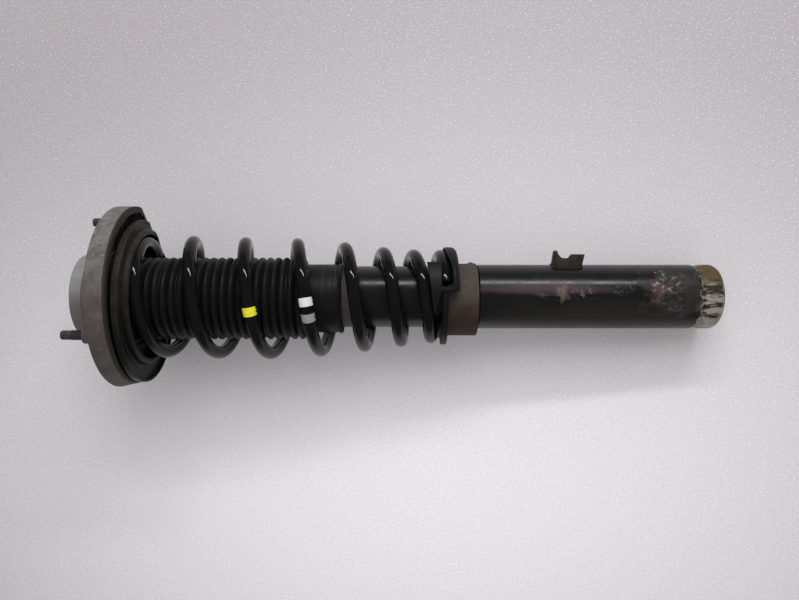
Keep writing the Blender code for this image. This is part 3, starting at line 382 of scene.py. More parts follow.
def bar(start, end, radius, steps=TURN_STEPS, edge=EDGE):
    """A plain round bar about the strut's axis."""
    return turned(rounded([(start, 0.0), (start, radius), (end, radius), (end, 0.0)], edge), steps)


def moved(shape, y, z):
    """The shape shifted sideways off the axis."""
    bmesh.ops.translate(shape, verts=shape.verts, vec=(0.0, y, z))
    return shape


def sliced(shape, distance, angle, slope=0.0, start=0.0):
    """The shape cut off flat at a distance from the axis, with the cut closed; a slope leans the cut."""
    normal = Vector((-slope, math.cos(angle), math.sin(angle)))
    point = (start, distance * normal[1], distance * normal[2])
    everything = list(shape.verts) + list(shape.edges) + list(shape.faces)
    cut = bmesh.ops.bisect_plane(shape, geom=everything, plane_co=point, plane_no=normal, clear_outer=True)
    rim = [item for item in cut["geom_cut"] if isinstance(item, bmesh.types.BMEdge)]
    bmesh.ops.edgeloop_fill(shape, edges=rim)
    bmesh.ops.recalc_face_normals(shape, faces=shape.faces)
    return shape


def holder(name, data):
    """A scratch object in the scene."""
    item = bpy.data.objects.new(name, data)
    bpy.context.collection.objects.link(item)
    return item


def to_mesh(shape, name="scratch"):
    """A mesh made from a finished shape."""
    mesh = bpy.data.meshes.new(name)
    shape.to_mesh(mesh)
    shape.free()
    return mesh


def settled(item):
    """The plain mesh of an object with its modifiers applied; the object itself goes."""
    ready = item.evaluated_get(bpy.context.evaluated_depsgraph_get())
    mesh = bpy.data.meshes.new_from_object(ready)
    bpy.data.objects.remove(item)
    return mesh


def joined(base, *steps):
    """A shape with others added, cut away or intersected, each given with its operation."""
    mesh = to_mesh(base)
    for operation, other in steps:
        body = holder("body", mesh)
        tool = holder("tool", to_mesh(other))
        change = body.modifiers.new("change", "BOOLEAN")
        change.operation = operation
        change.solver = "EXACT"
        change.object = tool
        mesh = settled(body)
        bpy.data.objects.remove(tool)
    return mesh


def bevelled(mesh, width, angle=40.0, segments=2):
    """The mesh with its sharp edges broken."""
    item = holder("edges", mesh)
    bevel = item.modifiers.new("bevel", "BEVEL")
    bevel.width = width
    bevel.segments = segments
    bevel.limit_method = "ANGLE"
    bevel.angle_limit = math.radians(angle)
    bevel.harden_normals = False
    return settled(item)


def mended(mesh):
    """A cut mesh with its doubles merged, its many-sided faces split and its gaps closed."""
    shape = bmesh.new()
    shape.from_mesh(mesh)
    bmesh.ops.remove_doubles(shape, verts=shape.verts, dist=1e-6)
    wide = [face for face in shape.faces if len(face.verts) > 4]
    bmesh.ops.triangulate(shape, faces=wide, ngon_method="BEAUTY")
    gaps = [edge for edge in shape.edges if edge.is_boundary]
    bmesh.ops.holes_fill(shape, edges=gaps, sides=4)
    bmesh.ops.recalc_face_normals(shape, faces=shape.faces)
    return shape


def together(*meshes):
    """Several meshes as one."""
    shape = bmesh.new()
    for mesh in meshes:
        shape.from_mesh(mesh)
    return to_mesh(shape)


def piece(name, mesh, look, body, nodes=()):
    """One finished piece that rides on a body and stands for its CAD nodes."""
    if isinstance(mesh, bmesh.types.BMesh):
        mesh = to_mesh(mesh)
    mesh.name = name
    mesh.materials.clear()
    mesh.materials.append(look)
    mesh.shade_smooth()
    mesh.set_sharp_from_angle(angle=SMOOTH_ANGLE)
    item = holder(name, mesh)
    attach(item, body)
    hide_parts(*nodes)
    return item


# Node trees

class Board:
    """Adds nodes to one tree and joins them."""

    def __init__(self, tree):
        self.tree = tree

    def add(self, kind, values=None, **settings):
        """A node with its settings, and its inputs set or joined."""
        node = self.tree.nodes.new(kind)
        for setting, value in settings.items():
            setattr(node, setting, value)
        for label, value in (values or {}).items():
            self.join(value, node.inputs[label])
        return node

    def join(self, value, target):
        """Link a socket to an input, or set the input's value."""
        if isinstance(value, bpy.types.NodeSocket):
            self.tree.links.new(value, target)
        else:
            target.default_value = value

    def math(self, operation, first, second=0.0, clamp=False):
        """One sum."""
        node = self.add("ShaderNodeMath", {0: first, 1: second}, operation=operation, use_clamp=clamp)
        return node.outputs[0]

    def mix(self, mask, first, second):
        """One colour over another."""
        node = self.add("ShaderNodeMix", {0: mask, 6: first, 7: second}, data_type="RGBA")
        return node.outputs[2]

    def blend(self, mask, first, second):
        """One value over another."""
        node = self.add("ShaderNodeMix", {0: mask, 2: first, 3: second}, data_type="FLOAT")
        return node.outputs[0]

    def group(self, name, values):
        """The first output of a shared group, with its inputs set or joined."""
        node = self.tree.nodes.new("ShaderNodeGroup")
        node.node_tree = bpy.data.node_groups[name]
        for label, value in values.items():
            self.join(value, node.inputs[label])
        return node.outputs[0]


FLOAT = "NodeSocketFloat"
INTEGER = "NodeSocketInt"
VECTOR = "NodeSocketVector"
GEOMETRY = "NodeSocketGeometry"
MATERIAL = "NodeSocketMaterial"


def new_tree(name, kind, inputs, outputs):
    """An empty tree with named sockets, its board and its input and output nodes."""
    tree = bpy.data.node_groups.new(name, kind)
    for label, socket in inputs.items():
        tree.interface.new_socket(name=label, in_out="INPUT", socket_type=socket)
    for label, socket in outputs.items():
        tree.interface.new_socket(name=label, in_out="OUTPUT", socket_type=socket)
    board = Board(tree)
    return tree, board, board.add("NodeGroupInput").outputs, board.add("NodeGroupOutput").inputs


# Geometry trees

def end_tree(board, geometry, look, target):
    """The last nodes of every geometry tree."""
    soft = board.add("GeometryNodeSetShadeSmooth", {"Geometry": geometry}).outputs[0]
    real = board.add("GeometryNodeRealizeInstances", {"Geometry": soft}).outputs[0]
    painted = board.add("GeometryNodeSetMaterial", {"Geometry": real, "Material": look}).outputs[0]
    board.join(painted, target)


def wire_tree():
    """A round wire swept along a curve, with flat ends."""
    tree, board, given, result = new_tree(
        "round_wire", "GeometryNodeTree",
        {"Geometry": GEOMETRY, "Wire Radius": FLOAT, "Sides": INTEGER, "Look": MATERIAL},
        {"Geometry": GEOMETRY})
    section = board.add("GeometryNodeCurvePrimitiveCircle",
                        {"Resolution": given["Sides"], "Radius": given["Wire Radius"]}).outputs[0]
    swept = board.add("GeometryNodeCurveToMesh",
                      {"Curve": given["Geometry"], "Profile Curve": section, "Fill Caps": True}).outputs[0]
    end_tree(board, swept, given["Look"], result["Geometry"])
    return tree


def bead_tree():
    """Uneven weld beads set along a curve."""
    tree, board, given, result = new_tree(
        "weld_beads", "GeometryNodeTree",
        {"Geometry": GEOMETRY, "Spacing": FLOAT, "Bead Radius": FLOAT, "Seed": INTEGER, "Look": MATERIAL},
        {"Geometry": GEOMETRY})
    points = board.add("GeometryNodeCurveToPoints",
                       {"Curve": given["Geometry"], "Length": given["Spacing"]}, mode="LENGTH").outputs[0]
    bead = board.add("GeometryNodeMeshIcoSphere",
                     {"Radius": given["Bead Radius"], "Subdivisions": 2}).outputs[0]
    size = board.add("FunctionNodeRandomValue", {"Seed": given["Seed"]}, data_type="FLOAT")
    size.inputs[2].default_value = 0.75
    size.inputs[3].default_value = 1.3
    placed = board.add("GeometryNodeInstanceOnPoints",
                       {"Points": points, "Instance": bead, "Scale": size.outputs[1]}).outputs[0]
    end_tree(board, placed, given["Look"], result["Geometry"])
    return tree


def revolved(board, given, rule, result):
    """A grid bent round the strut's axis, with the radius that a rule gives from place and angle share."""
    grid = board.add("GeometryNodeMeshGrid", {"Size X": 1.0, "Size Y": 1.0, "Vertices X": given["Rows"],
                                              "Vertices Y": given["Columns"]}).outputs[0]
    spot = board.add("GeometryNodeInputPosition").outputs[0]
    parts = board.add("ShaderNodeSeparateXYZ", {0: spot}).outputs
    share = board.math("ADD", parts[0], 0.5)
    turn = board.math("ADD", parts[1], 0.5)
    along = board.math("MULTIPLY", share, given["Length"])
    radius = rule(along, turn)
    angle = board.math("MULTIPLY", turn, 2 * math.pi)
    place = board.add("ShaderNodeCombineXYZ", {
        0: board.math("ADD", along, given["Start"]),
        1: board.math("MULTIPLY", radius, board.math("COSINE", angle)),
        2: board.math("MULTIPLY", radius, board.math("SINE", angle))}).outputs[0]
    bent = board.add("GeometryNodeSetPosition", {"Geometry": grid, "Position": place}).outputs[0]
    closed = board.add("GeometryNodeMergeByDistance", {"Geometry": bent, "Distance": 1e-6}).outputs[0]
    outward = board.add("GeometryNodeFlipFaces", {"Mesh": closed}).outputs[0]
    end_tree(board, outward, given["Look"], result["Geometry"])


def sleeve_tree():
    """A rubber sleeve: a beaded cuff, round ribs with narrow valleys and a plain head."""
    tree, board, given, result = new_tree(
        "ribbed_sleeve", "GeometryNodeTree",
        {"Start": FLOAT, "Length": FLOAT, "Cuff Length": FLOAT, "Cuff Radius": FLOAT, "Bead Length": FLOAT,
         "Bead Height": FLOAT, "Valley Radius": FLOAT, "Rib Depth": FLOAT, "Ribs": INTEGER,
         "Head Length": FLOAT, "Rows": INTEGER, "Columns": INTEGER, "Look": MATERIAL},
        {"Geometry": GEOMETRY})

    def rule(along, turn):
        head_start = board.math("SUBTRACT", given["Length"], given["Head Length"])
        ribbed = board.math("SUBTRACT", head_start, given["Cuff Length"])
        place = board.math("DIVIDE", board.math("SUBTRACT", along, given["Cuff Length"]), ribbed)
        phase = board.math("MULTIPLY", board.math("MULTIPLY", place, given["Ribs"]), math.pi)
        wave = board.math("ABSOLUTE", board.math("SINE", phase))
        round_wave = board.math("POWER", wave, 0.75)
        in_head = board.math("GREATER_THAN", along, head_start)
        crest = board.math("MAXIMUM", round_wave, in_head)
        rib = board.math("MULTIPLY_ADD", crest, given["Rib Depth"])
        board.join(given["Valley Radius"], rib.node.inputs[2])
        in_ribs = board.math("GREATER_THAN", along, given["Cuff Length"])
        bead_share = board.math("DIVIDE", along, given["Bead Length"], clamp=True)
        bead = board.math("MULTIPLY", board.math("SINE", board.math("MULTIPLY", bead_share, math.pi)),
                          given["Bead Height"])
        cuff = board.math("ADD", given["Cuff Radius"], bead)
        return board.blend(in_ribs, cuff, rib)

    revolved(board, given, rule, result)
    return tree


def thread_tree():
    """A screw thread with closed ends, one of them chamfered."""
    tree, board, given, result = new_tree(
        "screw_thread", "GeometryNodeTree",
        {"Start": FLOAT, "Length": FLOAT, "Radius": FLOAT, "Depth": FLOAT, "Pitch": FLOAT, "Chamfer": FLOAT,
         "Rows": INTEGER, "Columns": INTEGER, "Look": MATERIAL},
        {"Geometry": GEOMETRY})

    def rule(along, turn):
        phase = board.math("FRACT", board.math("SUBTRACT", board.math("DIVIDE", along, given["Pitch"]), turn))
        ridge = board.math("ABSOLUTE", board.math("SUBTRACT", board.math("MULTIPLY", phase, 2.0), 1.0))
        radius = board.math("SUBTRACT", given["Radius"], board.math("MULTIPLY", ridge, given["Depth"]))
        left = board.math("SUBTRACT", given["Length"], along)
        cone = board.math("ADD", left, board.math("SUBTRACT", given["Radius"], given["Chamfer"]))
        tip = board.math("MINIMUM", radius, cone)
        inside = board.math("GREATER_THAN", board.math("MINIMUM", along, left), 1e-6)
        return board.math("MULTIPLY", tip, inside)

    revolved(board, given, rule, result)
    return tree


def grown(tree, values, source=None):
    """Run a geometry tree with its named inputs and keep the plain mesh."""
    item = holder("grown", source or bpy.data.meshes.new("grown"))
    run = item.modifiers.new(tree.name, "NODES")
    run.node_group = tree
    for socket in tree.interface.items_tree:
        if socket.in_out == "INPUT" and socket.name in values:
            run[socket.identifier] = values[socket.name]
    return settled(item)


def path(points):
    """A curve through points."""
    curve = bpy.data.curves.new("path", "CURVE")
    curve.dimensions = "3D"
    line = curve.splines.new("POLY")
    line.points.add(len(points) - 1)
    for slot, point in zip(line.points, points):
        slot.co = (*point, 1.0)
    return curve


# Shared looks

def tone(red, green, blue):
    """A colour as a screen shows it, 0 to 255, in the shader's linear values."""
    def linear(value):
        """One channel."""
        value /= 255.0
        return value / 12.92 if value <= 0.04045 else ((value + 0.055) / 1.055) ** 2.4

    return (linear(red), linear(green), linear(blue), 1.0)


def noise(board, place, scale, detail=4.0, rough=0.55):
    """A soft random value from 0 to 1."""
    node = board.add("ShaderNodeTexNoise", {"Vector": place, "Scale": scale, "Detail": detail,
                                            "Roughness": rough})
    return node.outputs[0]


def make_groups():
    """The masks and values that several looks share."""
    tree, board, given, result = new_tree(
        "patch", "ShaderNodeTree",
        {"Vector": VECTOR, "Middle": FLOAT, "Half Length": FLOAT, "Angle": FLOAT, "Half Angle": FLOAT,
         "Scale": FLOAT, "Break": FLOAT, "Sharp": FLOAT}, {"Mask": FLOAT})
    parts = board.add("ShaderNodeSeparateXYZ", {0: given["Vector"]}).outputs
    along = board.math("DIVIDE", board.math("SUBTRACT", parts[0], given["Middle"]), given["Half Length"])
    angle = board.math("ARCTAN2", parts[2], parts[1])
    turn = board.math("SUBTRACT", angle, given["Angle"])
    away = board.math("ARCCOSINE", board.math("COSINE", turn))
    around = board.math("DIVIDE", away, given["Half Angle"])
    squares = board.math("ADD", board.math("MULTIPLY", along, along), board.math("MULTIPLY", around, around))
    inside = board.math("SUBTRACT", 1.0, board.math("SQRT", squares))
    ragged = board.math("SUBTRACT", noise(board, given["Vector"], given["Scale"], 6.0), 0.5)
    level = board.math("ADD", inside, board.math("MULTIPLY", ragged, given["Break"]))
    board.join(board.math("MULTIPLY", level, given["Sharp"], clamp=True), result["Mask"])

    tree, board, given, result = new_tree(
        "speckles", "ShaderNodeTree",
        {"Vector": VECTOR, "Scale": FLOAT, "Amount": FLOAT, "Sharp": FLOAT}, {"Mask": FLOAT})
    limit = board.math("SUBTRACT", 1.0, given["Amount"])
    level = board.math("SUBTRACT", noise(board, given["Vector"], given["Scale"], 3.0), limit)
    board.join(board.math("MULTIPLY", level, given["Sharp"], clamp=True), result["Mask"])

    tree, board, given, result = new_tree(
        "streaks", "ShaderNodeTree",
        {"Vector": VECTOR, "Stretch": VECTOR, "Scale": FLOAT, "Amount": FLOAT, "Sharp": FLOAT},
        {"Mask": FLOAT})
    drawn = board.add("ShaderNodeVectorMath", {0: given["Vector"], 1: given["Stretch"]},
                      operation="MULTIPLY").outputs[0]
    limit = board.math("SUBTRACT", 1.0, given["Amount"])
    level = board.math("SUBTRACT", noise(board, drawn, given["Scale"], 4.0), limit)
    board.join(board.math("MULTIPLY", level, given["Sharp"], clamp=True), result["Mask"])

    tree, board, given, result = new_tree(
        "film", "ShaderNodeTree",
        {"Vector": VECTOR, "Scale": FLOAT, "Low": FLOAT, "High": FLOAT}, {"Value": FLOAT})
    range_node = board.add("ShaderNodeMapRange", {
        0: noise(board, given["Vector"], given["Scale"]), 1: 0.3, 2: 0.7, 3: given["Low"], 4: given["High"]})
    board.join(range_node.outputs[0], result["Value"])

    tree, board, given, result = new_tree(
        "grain", "ShaderNodeTree", {"Vector": VECTOR, "Scale": FLOAT, "Coarse": FLOAT}, {"Height": FLOAT})
    fine = noise(board, given["Vector"], given["Scale"], 5.0)
    broad = noise(board, given["Vector"], board.math("MULTIPLY", given["Scale"], 0.15), 2.0)
    board.join(board.math("ADD", fine, board.math("MULTIPLY", broad, given["Coarse"])), result["Height"])


class Look(Board):
    """One material: a base colour, layers over it and a bumped surface."""

    def __init__(self, name, colour, roughness, metallic=0.0, coat=0.0, shine=0.5):
        self.material = bpy.data.materials.new(name)
        self.material.use_nodes = True
        super().__init__(self.material.node_tree)
        self.tree.nodes.clear()
        output = self.add("ShaderNodeOutputMaterial")
        self.shader = self.add("ShaderNodeBsdfPrincipled")
        self.join(self.shader.outputs[0], output.inputs["Surface"])
        coordinates = self.add("ShaderNodeTexCoord")
        self.place = self.add("ShaderNodeMapping", {"Vector": coordinates.outputs["Object"]}).outputs[0]
        self.colour = colour
        self.roughness = roughness
        self.metallic = metallic
        self.shader.inputs["Coat Weight"].default_value = coat
        self.shader.inputs["Specular IOR Level"].default_value = shine

    def patch(self, middle, half_length, angle, half_angle, scale=160.0, ragged=2.0, sharp=3.0):
        """A mask for one worn place, given along the strut and round it in degrees."""
        return self.group("patch", {
            "Vector": self.place, "Middle": middle, "Half Length": half_length, "Angle": math.radians(angle),
            "Half Angle": math.radians(half_angle), "Scale": scale, "Break": ragged, "Sharp": sharp})

    def speckles(self, scale, amount, sharp=12.0):
        """A mask for scattered spots."""
        return self.group("speckles", {"Vector": self.place, "Scale": scale, "Amount": amount,
                                       "Sharp": sharp})

    def streaks(self, stretch, scale, amount, sharp=10.0):
        """A mask for drawn-out marks."""
        return self.group("streaks", {"Vector": self.place, "Stretch": stretch, "Scale": scale,
                                      "Amount": amount, "Sharp": sharp})

    def film(self, scale, low, high):
        """A value that wanders between two limits."""
        return self.group("film", {"Vector": self.place, "Scale": scale, "Low": low, "High": high})

    def both(self, first, second):
        """Where two masks meet."""
        return self.math("MULTIPLY", first, second)

    def cover(self, mask, colour, roughness=None, metallic=None):
        """Lay a colour over what is there, where a mask says."""
        self.colour = self.mix(mask, self.colour, colour)
        if roughness is not None:
            self.roughness = self.blend(mask, self.roughness, roughness)
        if metallic is not None:
            self.metallic = self.blend(mask, self.metallic, metallic)
        return self

    def done(self, scale=900.0, coarse=0.5, strength=0.1, distance=0.0004):
        """Join everything to the shader, with a fine grain, and give the material."""
        height = self.group("grain", {"Vector": self.place, "Scale": scale, "Coarse": coarse})
        bump = self.add("ShaderNodeBump", {"Height": height, "Strength": strength, "Distance": distance})
        self.join(bump.outputs[0], self.shader.inputs["Normal"])
        self.join(self.colour, self.shader.inputs["Base Color"])
        self.join(self.roughness, self.shader.inputs["Roughness"])
        self.join(self.metallic, self.shader.inputs["Metallic"])
        return self.material


BLACK = tone(17, 17, 18)
RUST = tone(74, 52, 46)
DARK_RUST = tone(42, 32, 27)
PALE_DUST = tone(122, 117, 108)


def tube_look():
    """Satin black paint with worn places by the foot, a blob under the bracket and pale scuffs, with painted
    floor light on its +Y side and a painted pinkish reflection along its top.
    """
    look = Look("tube_paint", BLACK, 0.3, shine=0.32)
    look.roughness = look.film(70.0, 0.2, 0.32)
    look.cover(look.film(38.0, 0.0, 0.3), tone(26, 25, 25))
    # Painted light: a lighter brownish tone along the tube's +Y side, standing in for light thrown up from the
    # floor.
    look.cover(look.patch(0.105, 0.13, 45.0, 42.0, 40.0, 0.8, 1.4), tone(34, 31, 28), 0.5)
    # Painted reflection: a pinkish band along the top of the tube, next to the lamp's highlight.
    look.cover(look.patch(0.15, 0.075, 102.0, 10.0, 60.0, 0.9, 1.6), tone(58, 42, 45), 0.4)
    look.cover(look.patch(0.3155, 0.0042, 90.0, 300.0, 60.0, 0.2, 6.0), tone(60, 58, 57), 0.55)
    rubbed = look.both(look.patch(0.15, 0.018, 94.0, 12.0, 120.0, 1.2, 2.0),
                       look.streaks((0.4, 2.0, 2.0), 160.0, 0.48, 6.0))
    look.cover(rubbed, tone(60, 66, 58), 0.5)
    worn = look.patch(0.042, 0.03, 95.0, 66.0, 90.0, 2.2, 2.0)
    look.cover(worn, tone(46, 40, 36), 0.6)
    look.cover(look.both(worn, look.film(130.0, 0.0, 1.0)), tone(28, 26, 27), 0.5)
    look.cover(look.both(worn, look.speckles(150.0, 0.44, 6.0)), tone(62, 58, 54), 0.65)
    red = look.patch(0.0575, 0.0085, 101.0, 22.0, 170.0, 2.2, 1.8)
    look.cover(look.both(red, look.film(240.0, 0.2, 1.0)), RUST, 0.7)
    pale = look.both(look.patch(0.05, 0.016, 118.0, 30.0, 160.0, 2.0, 2.0), look.speckles(250.0, 0.46, 7.0))
    look.cover(pale, PALE_DUST, 0.75)
    low = look.both(look.patch(0.043, 0.014, 84.0, 26.0, 160.0, 2.0, 2.0), look.speckles(230.0, 0.46, 7.0))
    look.cover(low, tone(78, 74, 66), 0.75)
    blob = look.patch(0.1355, 0.006, 97.0, 22.0, 200.0, 2.2, 1.6)
    look.cover(look.both(blob, look.film(260.0, 0.2, 1.0)), tone(96, 80, 74), 0.7)
    look.cover(look.both(look.patch(0.1185, 0.012, 97.0, 15.0, 160.0, 1.6, 2.0),
                         look.speckles(420.0, 0.5, 5.0)), tone(84, 84, 94), 0.6)
    look.cover(look.both(look.patch(0.0865, 0.01, 98.0, 14.0, 160.0, 1.6, 2.0),
                         look.speckles(420.0, 0.49, 5.0)), tone(70, 70, 86), 0.6)
    look.cover(look.speckles(430.0, 0.265), tone(80, 76, 72), 0.7)
    return peeled(look).done(700.0, 0.8, 0.05)


def peeled(look):
    """Lay the foot's bare end over a look: pale metal, olive above, with brown streaks and a rusty edge."""
    bare = look.patch(0.0, 0.0215, 95.0, 220.0, 110.0, 1.1, 14.0)
    look.cover(bare, tone(150, 146, 136), 0.45, 0.2)
    look.cover(look.both(bare, look.film(110.0, 0.0, 0.8)), tone(96, 88, 74), 0.55, 0.1)
    upper = look.patch(0.008, 0.018, 142.0, 40.0, 120.0, 1.0, 3.0)
    look.cover(look.both(bare, upper), tone(74, 62, 36), 0.6, 0.0)
    fingers = look.both(look.patch(0.012, 0.0115, 88.0, 56.0, 100.0, 0.6, 4.0),
                        look.streaks((0.28, 1.3, 1.3), 150.0, 0.54, 14.0))
    look.cover(look.both(bare, fingers), DARK_RUST, 0.7, 0.0)
    return look.cover(look.patch(0.0, 0.0019, 90.0, 300.0, 260.0, 0.5, 6.0), tone(40, 29, 23), 0.8, 0.0)


def foot_look():
    """Black paint that has peeled off the foot's end."""
    look = Look("foot_paint", BLACK, 0.4, shine=0.32)
    look.roughness = look.film(90.0, 0.34, 0.5)
    look.cover(look.patch(0.022, 0.012, 60.0, 60.0, 120.0, 1.4, 2.0), tone(40, 35, 30), 0.6)
    return peeled(look).done(500.0, 1.0, 0.2)


def collar_look():
    """Rusty steel, brown-grey above and redder below, where painted shade also darkens it."""
    look = Look("rusty_collar", tone(68, 60, 53), 0.7, shine=0.25)
    # Redder rust with painted shade: the +Y side is made both redder and darker.
    look.cover(look.patch(0.213, 0.03, 40.0, 62.0, 90.0, 0.9, 1.6), tone(48, 33, 28))
    look.cover(look.film(170.0, 0.0, 0.6), tone(51, 44, 38), 0.75)
    look.cover(look.speckles(300.0, 0.38, 6.0), tone(36, 30, 27), 0.6)
    return look.done(520.0, 1.0, 0.3)


def bracket_look():
    """Old dark paint over brown rust."""
    look = Look("rusty_bracket", tone(38, 32, 27), 0.6, shine=0.25)
    look.cover(look.film(170.0, 0.0, 0.8), tone(56, 46, 34), 0.7)
    look.cover(look.speckles(300.0, 0.44, 7.0), tone(20, 19, 18), 0.45)
    look.cover(look.speckles(420.0, 0.36, 7.0), tone(78, 66, 52), 0.8)
    return look.done(520.0, 1.0, 0.4)


def weld_look():
    """Weld metal, burnt and rusty."""
    look = Look("weld_metal", tone(50, 42, 36), 0.65, 0.1, shine=0.3)
    look.cover(look.film(300.0, 0.0, 0.9), tone(36, 29, 24), 0.8, 0.0)
    return look.done(900.0, 0.6, 0.4)


def spring_look():
    """Glossy black spring paint with a little dust and small chips."""
    look = Look("spring_paint", tone(11, 11, 11), 0.16, shine=0.24)
    look.roughness = look.film(160.0, 0.04, 0.11)
    look.cover(look.film(45.0, 0.0, 0.35), tone(22, 20, 20))
    look.cover(look.speckles(360.0, 0.27), tone(70, 65, 60), 0.6)
    return look.done(420.0, 0.8, 0.06)


def mark_look(name, colour, shade):
    """Brushed-on paint with a worn tone."""
    look = Look(name, colour, 0.5, shine=0.3)
    look.cover(look.film(380.0, 0.0, 0.7), shade, 0.55)
    look.cover(look.speckles(520.0, 0.27), tone(40, 38, 36))
    return look.done(900.0, 0.8, 0.2)


def rubber_look(name, colour, dust, lines=None):
    """Aged black rubber with dust in places, and fine lines round it at a given place."""
    look = Look(name, colour, 0.45, shine=0.17)
    look.roughness = look.film(120.0, 0.34, 0.5)
    look.cover(look.film(70.0, 0.0, dust), tone(32, 30, 28), 0.7)
    look.cover(look.speckles(480.0, 0.26), tone(74, 70, 66), 0.8)
    if lines is not None:
        look.cover(look.both(look.patch(lines, 0.012, 138.0, 50.0, 60.0, 0.5, 3.0),
                             look.streaks((1.0, 0.02, 0.02), 520.0, 0.48, 7.0)), tone(44, 43, 43))
    return look.done(1100.0, 0.6, 0.1)


def casting_look():
    """Weathered cast aluminium: mottled, with painted light making it pale above, painted shade darkening it
    below and a ring of painted shade inside the skirt's mouth.
    """
    look = Look("cast_aluminium", tone(105, 102, 99), 0.55, 0.15, shine=0.4)
    look.roughness = look.film(120.0, 0.45, 0.65)
    look.cover(look.film(75.0, 0.0, 0.75), tone(89, 85, 81))
    # Painted light: paler mottling on the upper side, toward the lamp.
    pale = look.patch(0.502, 0.05, 138.0, 40.0, 90.0, 1.2, 1.6)
    look.cover(look.both(pale, look.speckles(200.0, 0.5, 3.0)), tone(124, 122, 118), 0.5)
    look.cover(look.speckles(110.0, 0.5, 3.0), tone(79, 75, 72), 0.6)
    look.cover(look.speckles(280.0, 0.44, 5.0), tone(130, 128, 125), 0.5)
    # Painted shade: darker, browner tones on the +Y side, darkest at the bottom.
    look.cover(look.patch(0.502, 0.06, 66.0, 55.0, 70.0, 1.2, 1.3), tone(75, 67, 64), 0.6, 0.1)
    look.cover(look.patch(0.502, 0.06, 0.0, 60.0, 70.0, 0.8, 1.3), tone(62, 58, 52), 0.65, 0.1)
    look.cover(look.both(look.speckles(230.0, 0.48, 5.0), look.film(60.0, 0.0, 0.8)),
               tone(100, 95, 92), 0.5)
    spots = look.both(look.speckles(150.0, 0.5, 5.0), look.speckles(420.0, 0.5, 5.0))
    look.cover(spots, tone(66, 59, 54), 0.7)
    # Painted shade: a dark ring all round the skirt's mouth, in the gap between the casting and the plate.
    look.cover(look.patch(0.494, 0.0022, 90.0, 600.0, 200.0, 0.6, 4.0), tone(36, 34, 30), 0.7, 0.0)
    return look.done(520.0, 1.2, 0.3)


def boss_look():
    """Plated bearing cup, grey with drawn lines and a side darkened by painted shade."""
    look = Look("boss_metal", tone(136, 136, 137), 0.4, 0.25, shine=0.4)
    look.roughness = look.film(160.0, 0.34, 0.5)
    look.cover(look.streaks((0.4, 2.0, 2.0), 120.0, 0.46, 3.0), tone(110, 107, 106), 0.5)
    # Painted shade: a darker tone on the cup's +Y side.
    look.cover(look.patch(0.535, 0.05, 52.0, 62.0, 60.0, 0.8, 1.5), tone(106, 98, 97), 0.5)
    look.cover(look.speckles(300.0, 0.34, 8.0), tone(82, 74, 68), 0.7, 0.2)
    return look.done(800.0, 0.6, 0.1)


def plate_look():
    """Pressed steel under worn greenish black paint."""
    look = Look("plate_paint", tone(15, 17, 14), 0.35, shine=0.14)
    look.roughness = look.film(110.0, 0.26, 0.44)
    look.cover(look.film(60.0, 0.0, 0.5), tone(26, 26, 20), 0.5)
    dusty = look.both(look.patch(0.488, 0.03, 130.0, 80.0, 70.0, 0.8, 1.4), look.film(130.0, 0.2, 1.0))
    look.cover(dusty, tone(46, 44, 38), 0.5)
    look.cover(look.speckles(380.0, 0.32, 8.0), tone(58, 55, 46), 0.7)
    return look.done(700.0, 0.8, 0.1)


def metal_look(name, colour, shade, roughness, metallic, stain=0.0):
    """Plain metal with a wandering tone and fine marks."""
    look = Look(name, colour, roughness, metallic)
    look.roughness = look.film(260.0, 0.85 * roughness, 1.2 * roughness)
    look.cover(look.film(180.0, 0.0, 0.6), shade)
    if stain:
        look.cover(look.speckles(360.0, stain, 7.0), RUST, 0.75, 0.2)
    return look.done(900.0, 0.5, 0.12)


def soft_look(name, colour, shade, roughness, strength):
    """Foam or plastic with a mottled tone."""
    look = Look(name, colour, roughness)
    look.cover(look.film(300.0, 0.0, 0.7), shade)
    return look.done(1200.0, 0.5, strength)


make_groups()
TUBE_PAINT = tube_look()
FOOT_PAINT = foot_look()
COLLAR_RUST = collar_look()
BRACKET_RUST = bracket_look()
WELD = weld_look()
SPRING_PAINT = spring_look()
BOOT_RUBBER = rubber_look("boot_rubber", tone(15, 15, 15), 0.3, CUFF_LINES)
PAD_RUBBER = rubber_look("pad_rubber", tone(15, 15, 15), 0.3)
CASTING = casting_look()
BOSS = boss_look()
PLATE_PAINT = plate_look()
STUD_STEEL = metal_look("stud_steel", tone(88, 86, 90), tone(62, 60, 62), 0.45, 0.7, 0.36)
NUT_STEEL = metal_look("nut_steel", tone(140, 134, 124), tone(104, 98, 90), 0.4, 0.85, 0.33)
CAP_ZINC = metal_look("cap_zinc", tone(88, 88, 88), tone(66, 65, 64), 0.45, 0.6)
BEARING_STEEL = metal_look("bearing_steel", tone(190, 190, 194), tone(170, 170, 174), 0.18, 1.0)
PLAIN_STEEL = metal_look("plain_steel", tone(150, 148, 144), tone(124, 122, 118), 0.4, 0.9)
CAGE_BRASS = metal_look("cage_brass", tone(190, 158, 96), tone(166, 132, 74), 0.35, 0.9)
ROD_CHROME = metal_look("rod_chrome", tone(196, 197, 200), tone(186, 187, 190), 0.12, 1.0)
ALUMINIUM = metal_look("turned_aluminium", tone(186, 187, 190), tone(168, 169, 172), 0.35, 0.9)
STOP_FOAM = soft_look("stop_foam", tone(178, 154, 108), tone(150, 124, 82), 0.9, 0.3)
RING_PLASTIC = soft_look("ring_plastic", tone(186, 180, 168), tone(166, 158, 144), 0.5, 0.1)


# Strut body

def weld_valley(start, step):
    """Points of the shallow valley at the foot's weld, from its bottom outward."""
    points = []
    for i in range(9):
        share = i / 8
        points.append((start + step * share, TUBE_RADIUS - WELD_GROOVE * (1.0 - smooth(share))))
    return points


